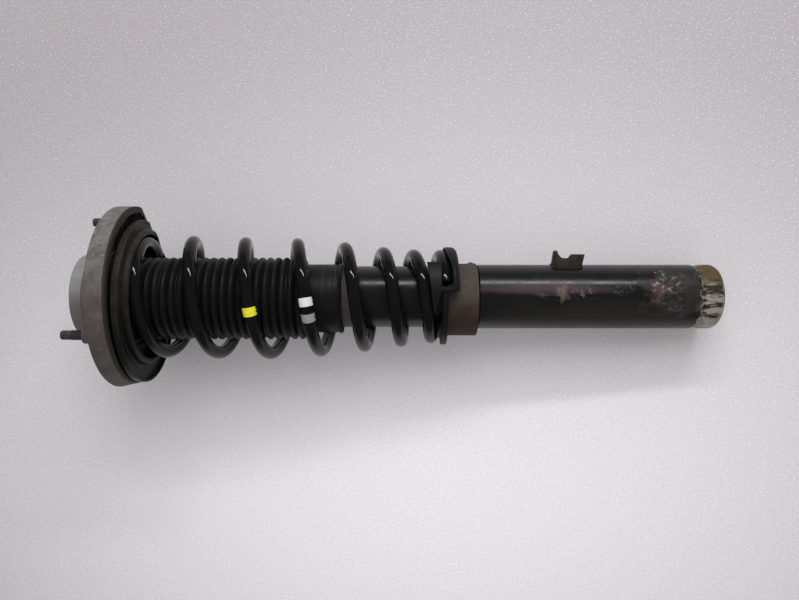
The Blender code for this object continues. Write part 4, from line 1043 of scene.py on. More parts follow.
def build_tube():
    """The damper tube, its foot and its top cap."""
    lip = TUBE_BORE - TUBE_LIP_OVERHANG
    tube = [(TUBE_LOW, TUBE_BORE)] + weld_valley(TUBE_LOW, WELD_GROOVE_LENGTH)
    tube += [(COLLAR_LOW - TUBE_SHOULDER, TUBE_RADIUS), (COLLAR_LOW - FIT, NECK_RADIUS), (TUBE_HIGH, NECK_RADIUS),
             (TUBE_HIGH, lip), (TUBE_HIGH - TUBE_LIP, lip), (TUBE_HIGH - TUBE_LIP, TUBE_BORE)]
    piece("tube_skin", turned(rounded(tube, FIT)), TUBE_PAINT, "strut_body", ["strut_tube"])

    body_top = FOOT_HIGH - FOOT_SPIGOT
    spigot = TUBE_BORE - FIT
    foot = [(FOOT_LOW, 0.0)]
    foot += arc(FOOT_LOW + FOOT_ROUND, TUBE_RADIUS - FOOT_ROUND, FOOT_ROUND, 180, 90, 13)
    foot += weld_valley(body_top, -WELD_GROOVE_LENGTH)[::-1]
    foot += [(body_top, spigot), (FOOT_HIGH, spigot), (FOOT_HIGH, 0.0)]
    piece("foot_skin", turned(rounded(foot, FIT)), FOOT_PAINT, "strut_body", ["foot_cap"])

    hole = ROD_RADIUS + CAP_ROD_GAP
    plug = lip - FIT
    under = CAP_HIGH - CAP_PLATE
    cap = [(CAP_LOW, hole), (CAP_LOW, plug), (under, plug), (under, NECK_RADIUS), (CAP_HIGH, NECK_RADIUS),
           (CAP_HIGH, hole)]
    piece("cap_skin", turned(rounded(cap)), CAP_ZINC, "strut_body", ["tube_cap"])


def seat_place(turns):
    """Where the collar's spring seat lies: a ramp that climbs with the wire from its tip."""
    return SEAT_START + SEAT_RISE * smooth(turns / SEAT_RISE_TURNS)


def off_centre(radius, offset, angle):
    """The radius, seen from the strut's axis, of a circle shifted along Y."""
    return offset * math.cos(angle) + math.sqrt(radius ** 2 - (offset * math.sin(angle)) ** 2)


def build_collar():
    """The collar: an off-centre ring whose seat climbs with the wire, with a small spur of weld."""
    inner = NECK_RADIUS + FIT
    sections = []
    for i in range(PAD_SECTIONS):
        turns = i / PAD_SECTIONS
        angle = COIL_TIP_ANGLE + 2 * math.pi * turns
        outer = off_centre(COLLAR_RADIUS, COLLAR_OFFSET, angle)
        seat = seat_place(turns)
        spur = outer + SPUR_HEIGHT * smooth(1.0 - abs(turns - SPUR_TURNS) / SPUR_SPAN)
        profile = [(COLLAR_LOW, inner), (COLLAR_LOW, outer), (SPUR_PLACE - SPUR_LENGTH, outer),
                   (SPUR_PLACE, spur), (SPUR_PLACE + SPUR_LENGTH, outer), (seat, outer), (seat, inner)]
        sections.append([on_axis(x, radius, angle) for x, radius in rounded(profile, 0.0016, 5)])
    piece("collar_skin", lofted(sections, True), COLLAR_RUST, "strut_body", ["lower_spring_collar"])


def coil_rise(turns):
    """How far the wire has climbed after some turns from its lower tip, before it is fitted."""
    def eased(start, length):
        """The area under one eased step up to here."""
        reach = min(1.0, max(0.0, (turns - start) / length))
        flat = max(0.0, turns - start - length)
        return length * (reach ** 3 - reach ** 4 / 2) + flat

    return (END_PITCH * turns
            + (LOWER_PITCH - END_PITCH) * eased(0.0, LOWER_CLOSED_TURNS)
            + (FULL_PITCH - LOWER_PITCH) * eased(OPEN_START_TURNS, OPEN_TURNS)
            - (FULL_PITCH - END_PITCH) * eased(COIL_TURNS - UPPER_CLOSED_TURNS, UPPER_CLOSED_TURNS))


def coil_point(turns):
    """The wire's centre after some turns from its lower tip: x, radius and angle."""
    share = coil_rise(turns) / coil_rise(COIL_TURNS)
    flare = smooth((turns - FLARE_START_TURNS) / FLARE_TURNS)
    radius = COIL_LOWER_RADIUS + (COIL_UPPER_RADIUS - COIL_LOWER_RADIUS) * flare
    angle = COIL_TIP_ANGLE + 2 * math.pi * turns
    lean = smooth(turns / BOW_START_TURNS) * (1.0 - smooth((turns - BOW_START_TURNS) / LEAN_TURNS))
    tip = smooth((turns - 0.55) / 0.45) * (1.0 - smooth((turns - 3.6) / 1.2))
    x = COIL_BOTTOM + (COIL_TOP - COIL_BOTTOM) * share - COIL_LEAN * lean * radius * math.cos(angle)
    return x - COIL_TIP_LEAN * tip * radius * math.sin(angle), radius, angle


def coil_place(turns):
    """The wire's centre as a point, with the slight sideways bow of the spring's middle."""
    ends = smooth((turns - BOW_START_TURNS) / BOW_TURNS)
    ends *= smooth((COIL_TURNS - BOW_START_TURNS - turns) / BOW_TURNS)
    return on_axis(*coil_point(turns)) + Vector((0.0, COIL_BOW * ends, 0.0))


TRAVEL = 0.1


def squashed(item):
    """Give a springy piece a mesh of its own."""
    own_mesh(item)


def build_spring():
    """The coil spring and its three paint marks."""
    count = round(COIL_TURNS * COIL_POINTS_PER_TURN)
    points = [coil_place(COIL_TURNS * i / count) for i in range(count + 1)]
    mesh = grown(wire_tree(), {"Wire Radius": WIRE_RADIUS, "Sides": WIRE_SIDES, "Look": SPRING_PAINT},
                 path(points))
    spring = piece("coil_wire", mesh, SPRING_PAINT, "strut_body", ["coil_spring"])
    squashed(spring)
    paints = {
        "yellow": mark_look("mark_yellow", tone(214, 210, 40), tone(186, 180, 44)),
        "white": mark_look("mark_white", tone(206, 206, 206), tone(188, 188, 188)),
        "grey": mark_look("mark_grey", tone(136, 140, 142), tone(112, 116, 118)),
    }
    for colour, (middle, half_turns, half_width) in MARKS.items():
        mark = piece(f"paint_mark_{colour}", mark_shape(middle, half_turns, half_width), paints[colour],
                     "strut_body")
        squashed(mark)


def mark_shape(middle, half_turns, half_width):
    """A thin patch of paint on the outer side of the wire."""
    along_steps = 10
    across_steps = 16
    sections = []
    for i in range(along_steps + 1):
        turns = middle + half_turns * (2 * i / along_steps - 1)
        centre = coil_place(turns)
        ahead = (coil_place(turns + 0.002) - coil_place(turns - 0.002)).normalized()
        outward = Vector((0.0, centre.y, centre.z)).normalized()
        side = ahead.cross(outward).normalized()
        edge = 1.0 - 0.12 * math.sin(5.0 * i)
        rows = []
        for height in (WIRE_RADIUS - 4 * MARK_THICKNESS, WIRE_RADIUS + MARK_THICKNESS):
            row = []
            for k in range(across_steps + 1):
                angle = half_width * edge * (2 * k / across_steps - 1)
                row.append(centre + (outward * math.cos(angle) + side * math.sin(angle)) * height)
            rows.append(row)
        sections.append(rows[0] + rows[1][::-1])
    return lofted(sections, False)


def build_lower_pad():
    """The lower rubber pad: a ring that follows the wire, with a rib and a hook round its tip."""
    inner = NECK_RADIUS + FIT
    rib_inner = COLLAR_RADIUS + COLLAR_OFFSET + LUG_COLLAR_GAP
    sections = []
    for i in range(PAD_SECTIONS):
        turns = i / PAD_SECTIONS
        wire_x, wire_r, _ = coil_point(min(turns, LOWER_PAD_TURNS))
        lug = 1.0 - smooth((turns - LUG_TURNS) / LUG_FADE_TURNS)
        base = seat_place(turns) + FIT
        seat = wire_x - WIRE_RADIUS - FIT
        seat += (base + PAD_THICKNESS - seat) * smooth((turns - LOWER_PAD_TURNS) / PAD_FADE_TURNS)
        edge = base + PAD_EDGE + (seat + WIRE_RADIUS * LUG_WIRE_SHARE - base - PAD_EDGE) * lug
        edge -= POCKET_DROP * (1.0 - smooth(turns / POCKET_TURNS))
        if turns > PAD_STOP_TURNS:
            lug = 1.0
            seat = COIL_BOTTOM - WIRE_RADIUS - FIT
            edge = seat + WIRE_RADIUS * LUG_WIRE_SHARE - POCKET_DROP
        if PAD_STOP_TURNS < turns < PAD_STOP_END:
            seat = COIL_BOTTOM + WIRE_RADIUS
            edge = seat + PAD_LIP
        wire_edge = wire_r + WIRE_RADIUS + FIT
        outer = wire_edge + PAD_LIP + (PAD_LUG_WALL - PAD_LIP) * lug
        lip = wire_r + PAD_SHELF + (wire_edge - wire_r - PAD_SHELF) * lug
        rib_start = base if turns < PAD_STOP_TURNS else seat_place(0.0) + FIT
        rib_base = rib_start - PAD_LIP - LUG_DROP * lug
        corner = PAD_LIP + (RIB_CORNER - PAD_LIP) * lug
        profile = [(base, inner), (base, rib_inner), (rib_base, rib_inner), (rib_base, outer - corner),
                   (rib_base + corner / 3, outer - corner / 3), (rib_base + corner, outer), (edge, outer),
                   (edge, lip), (seat, lip), (seat, inner)]
        angle = COIL_TIP_ANGLE + 2 * math.pi * turns
        sections.append([on_axis(x, radius, angle) for x, radius in rounded(profile, PAD_ROUND, 5)])
    piece("lower_pad_skin", lofted(sections, True), PAD_RUBBER, "strut_body", ["lower_spring_pad"])

    hook_inner = COIL_LOWER_RADIUS + WIRE_RADIUS + HOOK_GAP
    hook_outer = hook_inner + HOOK_WALL
    corner_turn = 0.4
    hook = [(HOOK_TOE_ANGLE, HOOK_TOP - HOOK_FALL - HOOK_TOE), (HOOK_START - corner_turn, HOOK_ARM_BASE)]
    bar_turn = math.degrees(HOOK_BAR_ROUND / hook_outer)
    for turn, base in arc(0.0, 0.0, 1.0, 180, 90, 6):
        hook.append((HOOK_START + bar_turn * (1.0 + turn), HOOK_BASE + HOOK_BAR_ROUND * (1.0 - base)))
    hook.append((HOOK_CORNER, HOOK_BASE))
    steps = 16
    arm_start = HOOK_CORNER + corner_turn
    hook += [(arm_start + (HOOK_END - arm_start) * i / steps, HOOK_ARM_BASE) for i in range(steps + 1)]
    sections = []
    for degrees, base in hook:
        top = HOOK_TOP - HOOK_FALL * (HOOK_END - degrees) / (HOOK_END - HOOK_TOE_ANGLE)
        profile = [(base, hook_inner), (base, hook_outer), (top, hook_outer), (top, hook_inner)]
        sections.append([on_axis(x, radius, math.radians(degrees))
                         for x, radius in rounded(profile, HOOK_ROUND)])
    piece("pad_hook_skin", lofted(sections, False), PAD_RUBBER, "strut_body")


def build_upper_pad():
    """The upper rubber pad, whose lower side follows the wire's last turn when the spring is pressed."""
    inner = COIL_UPPER_RADIUS - WIRE_RADIUS
    outer = COIL_UPPER_RADIUS + WIRE_RADIUS + FIT
    sections = []
    for i in range(PAD_SECTIONS):
        back = i / PAD_SECTIONS
        below = COIL_TOP - coil_point(COIL_TURNS - min(back, UPPER_PAD_TURNS))[0]
        seat = COIL_TOP + WIRE_RADIUS + FIT - below * (1.0 - TRAVEL / (COIL_HIGH - COIL_LOW))
        seat += (UPPER_PAD_HIGH - PAD_THICKNESS - seat) * smooth((back - UPPER_PAD_TURNS) / PAD_FADE_TURNS)
        angle = COIL_TIP_ANGLE + 2 * math.pi * (COIL_TURNS - back)
        profile = [(UPPER_PAD_HIGH, inner), (UPPER_PAD_HIGH, outer), (seat, outer), (seat, inner)]
        sections.append([on_axis(x, radius, angle) for x, radius in rounded(profile, EDGE, 3)])
    piece("upper_pad_skin", lofted(sections, True), PAD_RUBBER, "rod", ["upper_spring_pad"])


def build_boot():
    """The ribbed dust boot with its wall."""
    mesh = grown(sleeve_tree(), {
        "Start": BOOT_LOW, "Length": BOOT_HIGH - BOOT_LOW, "Cuff Length": BOOT_CUFF,
        "Cuff Radius": CUFF_RADIUS, "Bead Length": BOOT_BEAD_LENGTH,
        "Bead Height": BOOT_BEAD, "Valley Radius": BOOT_CREST - BOOT_RIB_DEPTH, "Rib Depth": BOOT_RIB_DEPTH,
        "Ribs": BOOT_RIBS, "Head Length": BOOT_HEAD, "Rows": BOOT_ROWS, "Columns": BOOT_COLUMNS,
        "Look": BOOT_RUBBER})
    sheet = holder("boot", mesh)
    wall = sheet.modifiers.new("wall", "SOLIDIFY")
    wall.thickness = BOOT_WALL
    wall.offset = -1.0
    mesh = settled(sheet)
    mesh.transform(Matrix.Translation((0.0, BOOT_OFFSET, 0.0)))
    boot = piece("boot_skin", mesh, BOOT_RUBBER, "strut_body", ["dust_boot"])
    squashed(boot)


def bracket_height(x):
    """How far the bracket's edge stands off the strut's axis: a tip, a saddle and a wide ear."""
    tip_end = BRACKET_CENTRE + BRACKET_WIDTH / 2 + BRACKET_TIP_SHIFT
    left = 1.0 - min(1.0, max(0.0, (tip_end - BRACKET_SHEET / 2 - x) / BRACKET_TIP_WIDTH))
    drop = 1.0 - left * left
    rise = smooth((BRACKET_CENTRE + BRACKET_EAR_SHIFT - x) / BRACKET_EAR_RISE)
    height = BRACKET_TIP_HEIGHT + (BRACKET_SADDLE_HEIGHT - BRACKET_TIP_HEIGHT) * drop
    return TUBE_RADIUS + height + (BRACKET_EAR_HEIGHT - BRACKET_SADDLE_HEIGHT) * rise


def build_bracket():
    """The hose bracket, a bent sheet on the tube, and its weld beads."""
    half_sheet = BRACKET_SHEET / 2
    left = BRACKET_CENTRE + BRACKET_WIDTH / 2 - half_sheet + BRACKET_TIP_SHIFT
    right = BRACKET_CENTRE - BRACKET_WIDTH / 2 + half_sheet + BRACKET_EAR_INSET
    face = BRACKET_FACE - half_sheet
    back = BRACKET_FACE - BRACKET_RETURN
    line = [(left, back)]
    line += arc(left - BRACKET_BEND, face - BRACKET_BEND, BRACKET_BEND, 0, 90, 8)
    web_start = left - BRACKET_BEND
    web_end = right + BRACKET_CURL
    steps = BRACKET_WEB_SECTIONS
    line += [(web_start + (web_end - web_start) * i / steps, face) for i in range(1, steps)]
    line += arc(web_end, face - BRACKET_CURL, BRACKET_CURL, 90, 180, 10)
    line += [(right, back)]
    sections = []
    weld = []
    for i, (x, z) in enumerate(line):
        before = line[max(i - 1, 0)]
        after = line[min(i + 1, len(line) - 1)]
        length = math.dist(before, after)
        side_x = (before[1] - after[1]) / length * half_sheet
        side_z = (after[0] - before[0]) / length * half_sheet
        rim = -bracket_height(x)
        lean = BRACKET_EAR_LEAN * smooth((BRACKET_CENTRE - x) / (BRACKET_CENTRE - right))
        lean += BRACKET_TIP_LEAN * smooth((x - BRACKET_CENTRE) / (left - BRACKET_CENTRE))
        rows = []
        for sign in (-1, 1):
            edge_z = z + sign * side_z
            foot = -math.sqrt((TUBE_RADIUS + FIT) ** 2 - edge_z ** 2)
            rows.append([(x + sign * side_x, foot, edge_z), (x + sign * side_x - lean, rim, edge_z)])
        sections.append(rows[0] + rows[1][::-1])
        outside = max(rows[0][0], rows[1][0], key=lambda point: point[2])
        weld.append(Vector(outside))
    mesh = bevelled(to_mesh(lofted(sections, False)), 0.0005, 50.0)
    piece("bracket_skin", mesh, BRACKET_RUST, "strut_body", ["hose_bracket"])
    beads = grown(bead_tree(), {"Spacing": WELD_SPACING, "Bead Radius": WELD_BEAD, "Seed": 4, "Look": WELD},
                  path(weld))
    piece("bracket_weld", beads, WELD, "strut_body")


# Rod and what is clamped to it

def thread(start, end, radius, pitch, look):
    """A threaded length about the strut's axis."""
    return grown(bpy.data.node_groups.get("screw_thread") or thread_tree(), {
        "Start": start, "Length": end - start, "Radius": radius, "Depth": 0.55 * pitch, "Pitch": pitch,
        "Chamfer": STUD_CHAMFER, "Rows": round((end - start) / pitch * 9) + 1, "Columns": 37, "Look": look})


def build_rod():
    """The piston rod: a chromed bar, a stem for the bearing and a thread for the nut."""
    shoulder = BUMP_HIGH
    tail = ROD_LOW + 0.024
    thread_start = WASHER_HIGH - 0.002
    bar_outline = [(ROD_LOW, 0.0), (ROD_LOW, ROD_TAIL), (tail, ROD_TAIL), (tail, ROD_RADIUS),
                   (shoulder, ROD_RADIUS), (shoulder, ROD_STEM), (thread_start, ROD_STEM), (thread_start, 0.0)]
    mesh = together(to_mesh(turned(rounded(bar_outline), SMALL_STEPS)),
                    thread(thread_start, ROD_HIGH, ROD_STEM, ROD_PITCH, ROD_CHROME))
    piece("rod_skin", mesh, ROD_CHROME, "rod", ["piston_rod"])


def build_clamp():
    """The rod's washer and nut."""
    bore = ROD_STEM + FIT
    washer = [(WASHER_LOW, bore), (WASHER_LOW, WASHER_RADIUS), (WASHER_HIGH, WASHER_RADIUS),
              (WASHER_HIGH, bore)]
    piece("washer_skin", turned(rounded(washer, 0.0004)), NUT_STEEL, "rod", ["rod_washer"])
    corner = NUT_FLATS / math.sqrt(3.0)
    chamfer = corner - NUT_FLATS / 2
    ring = [(NUT_LOW - FIT, bore), (NUT_LOW - FIT, NUT_FLATS / 2 - FIT), (NUT_LOW + chamfer, corner + FIT),
            (NUT_HIGH - chamfer, corner + FIT), (NUT_HIGH + FIT, NUT_FLATS / 2 - FIT), (NUT_HIGH + FIT, bore)]
    blank = turned([(NUT_LOW, 0.0), (NUT_LOW, corner), (NUT_HIGH, corner), (NUT_HIGH, 0.0)], 6)
    shape = mended(joined(blank, ("INTERSECT", turned(ring, 72))))
    piece("nut_skin", shape, NUT_STEEL, "rod", ["rod_nut"])


def build_plate():
    """The spring plate: a hat with a cup round the wire and a wide folded flange with a flat."""
    bore = ROD_STEM + FIT
    wall = COIL_UPPER_RADIUS + WIRE_RADIUS + 2 * FIT
    wall_out = wall + PLATE_SHEET
    cup = wall + PLATE_CUP_WALL
    top = RIM_LOW - PLATE_RIM_GAP
    under = top - PLATE_SHEET
    hub_low = PLATE_HIGH - PLATE_SHEET
    seat_high = PLATE_SEAT + PLATE_SHEET
    seat_start = PLATE_HUB_RADIUS + PLATE_CONE
    hat = [(seat_high, wall_out), (seat_high, seat_start + PLATE_SHEET / 2),
           (PLATE_HIGH, PLATE_HUB_RADIUS + PLATE_SHEET / 2), (PLATE_HIGH, bore), (hub_low, bore),
           (hub_low, PLATE_HUB_RADIUS), (PLATE_SEAT, seat_start), (PLATE_SEAT, wall), (PLATE_LOW, wall),
           (PLATE_LOW, cup - PLATE_CUP_ROUND), (PLATE_LOW + PLATE_CUP_ROUND, cup), (under, cup)]
    sections = []
    for i in range(MOUNT_STEPS):
        angle = 2 * math.pi * i / MOUNT_STEPS
        edge = off_centre(wall + PLATE_FLANGE, PLATE_FLANGE_OFFSET, angle)
        fold = edge - PLATE_SHEET
        flat_side = max(0.0, math.cos(angle - FLAT_ANGLE))
        fold_low = top - PLATE_FLANGE_DEPTH * (1.0 - PLATE_FOLD_SHARE * flat_side)
        outline = hat + [(under, fold), (fold_low, fold), (fold_low, edge), (top, edge), (top, wall_out)]
        sections.append([on_axis(x, radius, angle) for x, radius in rounded(outline, 0.0012, 5)])
    shape = sliced(lofted(sections, True), FLAT_DISTANCE, FLAT_ANGLE, PLATE_FLAT_SLOPE, RIM_LOW)
    piece("plate_skin", shape, PLATE_PAINT, "rod", ["upper_spring_plate"])


def build_bump_stop():
    """The foam bump stop with its waists."""
    bore = ROD_RADIUS + FIT
    lobe = (BUMP_HIGH - BUMP_LOW) / BUMP_LOBES
    outline = [(BUMP_HIGH, bore), (BUMP_HIGH, BUMP_RADIUS)]
    for k in range(BUMP_LOBES):
        radius = BUMP_RADIUS - BUMP_TAPER * k / BUMP_LOBES
        start = BUMP_HIGH - k * lobe
        outline += [(start - lobe * 0.6, radius), (start - lobe * 0.8, radius - BUMP_WAIST)]
    outline += [(BUMP_LOW, radius - BUMP_WAIST / 2), (BUMP_LOW, bore)]
    piece("bump_stop_skin", turned(rounded(outline[::-1], 0.003, 6), SMALL_STEPS), STOP_FOAM, "rod",
          ["bump_stop"])


# Top mount

def stud_angles():
    """Where the studs stand round the mount."""
    return [FIRST_STUD_ANGLE + 2 * math.pi * i / STUD_COUNT for i in range(STUD_COUNT)]


def tapered(shape):
    """The casting with its skirt's lower edge drawn inward on the side across from the flat."""
    for vert in shape.verts:
        radius = math.hypot(vert.co.y, vert.co.z)
        if radius > 0.0 and vert.co.y > 0.0:
            depth = (RIM_HIGH - RIM_ROUND - vert.co.x) / (SKIRT_DEPTH - 2 * RIM_ROUND)
            side = (vert.co.y / radius) ** 2
            scale = 1.0 - SKIRT_TAPER / MOUNT_RADIUS * side * min(1.0, max(0.0, depth))
            vert.co.y *= scale
            vert.co.z *= scale
    return shape


def build_mount():
    """The cast mount: a necked crown and a skirt with one flat side, and three stud pads."""
    hole = BOSS_RADIUS + FIT
    land = hole + CROWN_LAND
    neck = hole + CROWN_NECK_WALL
    outline = [(RIM_LOW, 0.0), (RIM_LOW, MOUNT_RADIUS), (RIM_HIGH, MOUNT_RADIUS), (SEAT_HEIGHT, land),
               (SEAT_HEIGHT, neck), (CROWN_HIGH, neck), (CROWN_HIGH, 0.0)]
    outside = tapered(turned(rounded(outline, RIM_ROUND, 6), MOUNT_STEPS))
    outside = sliced(outside, FLAT_DISTANCE, FLAT_ANGLE)
    bore = MOUNT_RADIUS - SKIRT_WALL
    mouth = RIM_LOW - CROWN_WALL
    above = CROWN_HIGH + CROWN_WALL
    under = SEAT_HEIGHT - CROWN_WALL
    hollow = [(mouth, 0.0), (mouth, bore), (RIM_HIGH - CROWN_WALL, bore), (under, land), (under, hole),
              (above, hole), (above, 0.0)]
    inside = sliced(turned(rounded(hollow, 0.001, 3), MOUNT_STEPS), FLAT_DISTANCE - SKIRT_WALL, FLAT_ANGLE)
    steps = [("DIFFERENCE", inside)]
    head_seat = STUD_SEAT - STUD_PAD_WALL
    shank = STUD_RADIUS + FIT
    spot = STUD_HEAD_RADIUS + FIT
    stepped = [(mouth, 0.0), (mouth, spot), (head_seat, spot), (head_seat, shank), (above, shank), (above, 0.0)]
    places = [on_axis(0.0, STUD_CIRCLE, angle) for angle in stud_angles()]
    for _, y, z in places:
        pad = bar(head_seat + FIT, STUD_SEAT, STUD_PAD_RADIUS, 64, 0.0008)
        steps.append(("UNION", moved(pad, y, z)))
    for _, y, z in places:
        steps.append(("DIFFERENCE", moved(turned(stepped, SMALL_STEPS), y, z)))
    shape = mended(joined(outside, *steps))
    piece("casting_skin", shape, CASTING, "top_mount", ["mount_casting"])


def build_boss():
    """The bearing cup in the crown, with a lip round the nut's well."""
    bore = BUSH_RADIUS + FIT
    well = SLEEVE_RADIUS - WELL_INSET
    flange_high = BOSS_LOW + BOSS_FLANGE_THICKNESS
    flange_radius = BOSS_RADIUS + BOSS_FLANGE
    outline = [(BOSS_LOW, bore), (BOSS_LOW, flange_radius), (flange_high, flange_radius),
               (flange_high, BOSS_RADIUS)]
    outline += arc(BOSS_HIGH - BOSS_ROUND, BOSS_RADIUS - BOSS_ROUND, BOSS_ROUND, 90, 0, 10)
    outline += [(BOSS_HIGH, well), (BOSS_HIGH - BOSS_LIP, well), (BOSS_HIGH - BOSS_LIP, bore)]
    piece("boss_skin", turned(rounded(outline, 0.0004, 3), MOUNT_STEPS), BOSS, "top_mount", ["mount_boss"])


def build_studs():
    """Three studs with a head, a thread and a plain point."""
    head_high = STUD_LOW + STUD_HEAD
    thread_end = STUD_TIP - STUD_POINT
    shank = [(STUD_LOW, 0.0), (STUD_LOW, STUD_HEAD_RADIUS), (head_high, STUD_HEAD_RADIUS),
             (head_high, STUD_RADIUS), (STUD_SEAT, STUD_RADIUS), (STUD_SEAT, 0.0)]
    point = [(thread_end - STUD_PITCH, 0.0), (thread_end - STUD_PITCH, STUD_POINT_RADIUS),
             (STUD_TIP, STUD_POINT_RADIUS), (STUD_TIP, 0.0)]
    for number, angle in enumerate(stud_angles(), start=1):
        mesh = together(to_mesh(turned(rounded(shank, 0.0004, 3), SMALL_STEPS)),
                        thread(STUD_SEAT - FIT, thread_end, STUD_RADIUS, STUD_PITCH, STUD_STEEL),
                        to_mesh(turned(rounded(point, 0.0012, 5), SMALL_STEPS)))
        mesh.transform(Matrix.Translation(on_axis(0.0, STUD_CIRCLE, angle)))
        piece(f"stud_skin_{number}", mesh, STUD_STEEL, "top_mount", [f"mount_stud_{number}"])


def build_bush():
    """The rubber bush, the sleeve and the circlip that hold the bearing."""
    race = OUTER_RACE_RADIUS + FIT
    slot = race + CIRCLIP_GROOVE
    ledge = RACE_LOW - FIT
    sleeve = [(SLEEVE_LOW, race - SLEEVE_LIP), (SLEEVE_LOW, SLEEVE_RADIUS), (SLEEVE_HIGH, SLEEVE_RADIUS),
              (SLEEVE_HIGH, race), (CLIP_HIGH + FIT, race), (CLIP_HIGH + FIT, slot), (RACE_HIGH, slot),
              (RACE_HIGH, race), (ledge, race), (ledge, race - SLEEVE_LIP)]
    piece("sleeve_skin", turned(rounded(sleeve, 0.0003, 2)), PLAIN_STEEL, "top_mount", ["bush_sleeve"])
    inner = SLEEVE_RADIUS + FIT
    middle = (inner + BUSH_RADIUS) / 2
    bush = [(BUSH_LOW, inner), (BUSH_LOW + BUSH_WAIST, middle), (BUSH_LOW, BUSH_RADIUS),
            (BUSH_HIGH, BUSH_RADIUS), (BUSH_HIGH - BUSH_WAIST, middle), (BUSH_HIGH, inner)]
    piece("bush_skin", turned(rounded(bush, 0.001)), PAD_RUBBER, "top_mount", ["mount_bush"])
    clip_outer = slot - FIT
    clip_inner = clip_outer - CIRCLIP_DEPTH
    sections = []
    steps = 90
    for i in range(steps + 1):
        angle = CIRCLIP_OPENING / 2 + (2 * math.pi - CIRCLIP_OPENING) * i / steps
        profile = [(CLIP_LOW, clip_inner), (CLIP_LOW, clip_outer), (CLIP_HIGH, clip_outer),
                   (CLIP_HIGH, clip_inner)]
        sections.append([on_axis(x, radius, angle) for x, radius in rounded(profile, 0.0002, 2)])
    piece("circlip_skin", lofted(sections, False), NUT_STEEL, "top_mount", ["bearing_circlip"])


def build_bearing():
    """The ball bearing: two grooved races, a brass cage and its balls."""
    bore = ROD_STEM + FIT
    middle = (RACE_LOW + RACE_HIGH) / 2
    groove = BALL_RADIUS + BALL_GAP
    shoulder = groove - RACE_SHOULDER
    spread = math.degrees(math.acos(shoulder / groove))
    inner = [(RACE_HIGH, bore), (RACE_LOW, bore), (RACE_LOW, BALL_CIRCLE - shoulder)]
    inner += arc(middle, BALL_CIRCLE, groove, -90 - spread, -90 + spread, 12)
    inner += [(RACE_HIGH, BALL_CIRCLE - shoulder)]
    piece("inner_race_skin", turned(rounded(inner, 0.0003, 2)), BEARING_STEEL, "rod", ["bearing_inner_race"])
    outer = [(RACE_HIGH, OUTER_RACE_RADIUS), (RACE_LOW, OUTER_RACE_RADIUS), (RACE_LOW, BALL_CIRCLE + shoulder)]
    outer += arc(middle, BALL_CIRCLE, groove, 90 + spread, 90 - spread, 12)
    outer += [(RACE_HIGH, BALL_CIRCLE + shoulder)]
    piece("outer_race_skin", turned(rounded(outer, 0.0003, 2)), BEARING_STEEL, "top_mount",
          ["bearing_outer_race"])
    low = BALL_CIRCLE - CAGE_WALL / 2
    high = BALL_CIRCLE + CAGE_WALL / 2
    ring = turned(rounded([(CAGE_LOW, low), (CAGE_LOW, high), (CAGE_HIGH, high), (CAGE_HIGH, low)], 0.0003, 2))
    pockets = bmesh.new()
    for number in range(BALL_COUNT):
        angle = 2 * math.pi * number / BALL_COUNT
        place = Matrix.Translation(on_axis(middle, BALL_CIRCLE, angle))
        bmesh.ops.create_cone(pockets, cap_ends=True, segments=32, radius1=groove, radius2=groove,
                              depth=2 * CAGE_WALL, matrix=place @ Matrix.Rotation(angle - math.pi / 2, 4, "X"))
        ball = bmesh.new()
        bmesh.ops.create_uvsphere(ball, u_segments=28, v_segments=18, radius=BALL_RADIUS, matrix=place)
        piece(f"ball_skin_{number + 1:02d}", ball, BEARING_STEEL, "ball_cage",
              [f"bearing_ball_{number + 1:02d}"])
    piece("cage_skin", joined(ring, ("DIFFERENCE", pockets)), CAGE_BRASS, "ball_cage", ["bearing_cage"])


def dress_inside():
    """Looks for the CAD pieces that stay as they are, inside the damper and the mount."""
    looks = {
        "pressure_tube": PLAIN_STEEL, "foot_valve": PLAIN_STEEL, "rod_guide": ALUMINIUM,
        "guide_bush": CAGE_BRASS, "rod_seal": PAD_RUBBER, "piston": PLAIN_STEEL, "piston_ring": RING_PLASTIC,
        "piston_nut": NUT_STEEL, "rebound_stop": PLAIN_STEEL, "rebound_buffer": PAD_RUBBER,
        "spacer_sleeve": PLAIN_STEEL,
    }
    for node, look in looks.items():
        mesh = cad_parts[node].data
        mesh.materials.clear()
        mesh.materials.append(look)


build_tube()
build_collar()
build_lower_pad()
build_spring()
build_boot()
build_bracket()
build_rod()
build_plate()
build_upper_pad()
build_bump_stop()
build_clamp()
build_mount()
build_boss()
build_studs()
build_bush()
build_bearing()
dress_inside()


# Floor, light and camera

FLOOR_TILT = math.atan2(MOUNT_RADIUS - TUBE_RADIUS, RIM_HIGH - FOOT_ROUND)
FLOOR_SIZE = 6.0
SKY_LEVEL = 0.68
SKY_IN_REFLECTIONS = 0.13
FLOOR_POINT = Vector((FOOT_LOW + FOOT_ROUND, 0.0, -TUBE_RADIUS - 0.0006))
CAMERA_PLACE = Vector((0.271, 0.003, 0.6053))
FOCAL_PIXELS = 700.0
IMAGE_WIDTH = 799.0
SENSOR = 36.0


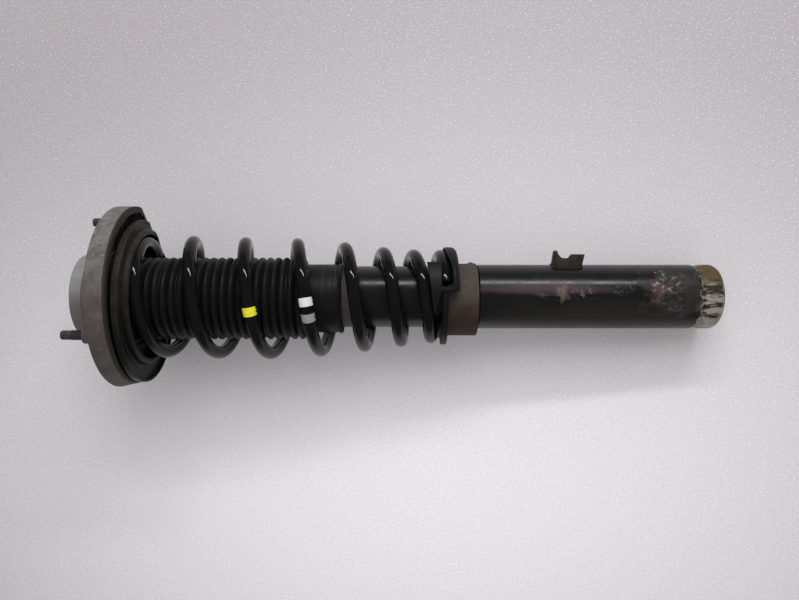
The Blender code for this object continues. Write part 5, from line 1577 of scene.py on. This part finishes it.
def build_floor():
    """A pale speckled floor that the foot and the mount's rim touch, with a painted pool of light on it."""
    look = Look("pale_floor", tone(156, 151, 154), 0.55, shine=0.3)
    # A painted pool of light: the floor is lightened in a soft oval on the strut's +Y side, fading towards the
    # corners.
    parts = look.add("ShaderNodeSeparateXYZ", {0: look.place}).outputs
    across = look.math("DIVIDE", look.math("SUBTRACT", parts[0], 0.25), 0.76)
    down = look.math("DIVIDE", look.math("SUBTRACT", parts[1], 0.17), 0.5)
    squares = look.math("ADD", look.math("MULTIPLY", across, across), look.math("MULTIPLY", down, down))
    painted_light_pool = look.math("SUBTRACT", 1.0, look.math("SQRT", squares), clamp=True)
    curve = look.math("SUBTRACT", 3.0, look.math("MULTIPLY", painted_light_pool, 2.0))
    look.cover(look.math("MULTIPLY", look.math("MULTIPLY", painted_light_pool, painted_light_pool), curve), tone(224, 222, 225))
    look.cover(look.film(430.0, 0.0, 0.22), tone(150, 146, 148))
    look.cover(look.both(look.speckles(620.0, 0.44, 5.0), 0.5), tone(250, 247, 250), 0.45)
    bpy.ops.mesh.primitive_plane_add(size=FLOOR_SIZE, location=FLOOR_POINT, rotation=(0.0, FLOOR_TILT, 0.0))
    floor = bpy.context.object
    floor.name = "floor"
    floor.data.materials.append(look.done(420.0, 0.3, 0.25))


def soft_lamp(name, place, target, width, height, power):
    """A rectangular soft lamp aimed at a point."""
    data = bpy.data.lights.new(name, "AREA")
    data.shape = "RECTANGLE"
    data.size = width
    data.size_y = height
    data.energy = power
    lamp = bpy.data.objects.new(name, data)
    lamp.location = place
    lamp.rotation_euler = (Vector(target) - Vector(place)).to_track_quat("-Z", "Y").to_euler()
    bpy.context.collection.objects.link(lamp)
    return lamp


def build_light():
    """A low lamp from the top of the picture, a soft one beside it and an even sky, dim in reflections."""
    middle = (0.27, 0.0, 0.0)
    soft_lamp("key_strip", (0.14, -1.17, 0.95), middle, 1.1, 0.09, 10.2)
    for name, place, power in (("high_fill", (0.25, -0.9, 1.3), 12.0), ("low_fill", (0.3, 1.2, 0.9), 2.5)):
        fill = soft_lamp(name, place, (0.27, 0.1, 0.0), 1.4, 1.0, power)
        fill.visible_glossy = False
    world = bpy.data.worlds.new("even_sky")
    world.use_nodes = True
    board = Board(world.node_tree)
    back = world.node_tree.nodes["Background"]
    back.inputs["Color"].default_value = (1.0, 0.985, 0.99, 1.0)
    glossy = board.add("ShaderNodeLightPath").outputs["Is Glossy Ray"]
    board.join(board.blend(glossy, SKY_LEVEL, SKY_IN_REFLECTIONS), back.inputs["Strength"])
    bpy.context.scene.world = world


def build_camera():
    """The camera above the strut, turned so that the mount is on the left."""
    data = bpy.data.cameras.new("camera")
    data.sensor_width = SENSOR
    data.lens = SENSOR * FOCAL_PIXELS / IMAGE_WIDTH
    data.clip_start = 0.01
    camera = bpy.data.objects.new("camera", data)
    camera.location = CAMERA_PLACE
    camera.rotation_euler = (0.0, 0.0, math.pi)
    bpy.context.collection.objects.link(camera)
    bpy.context.scene.camera = camera


build_floor()
build_light()
build_camera()
bpy.context.scene.view_settings.view_transform = "Standard"
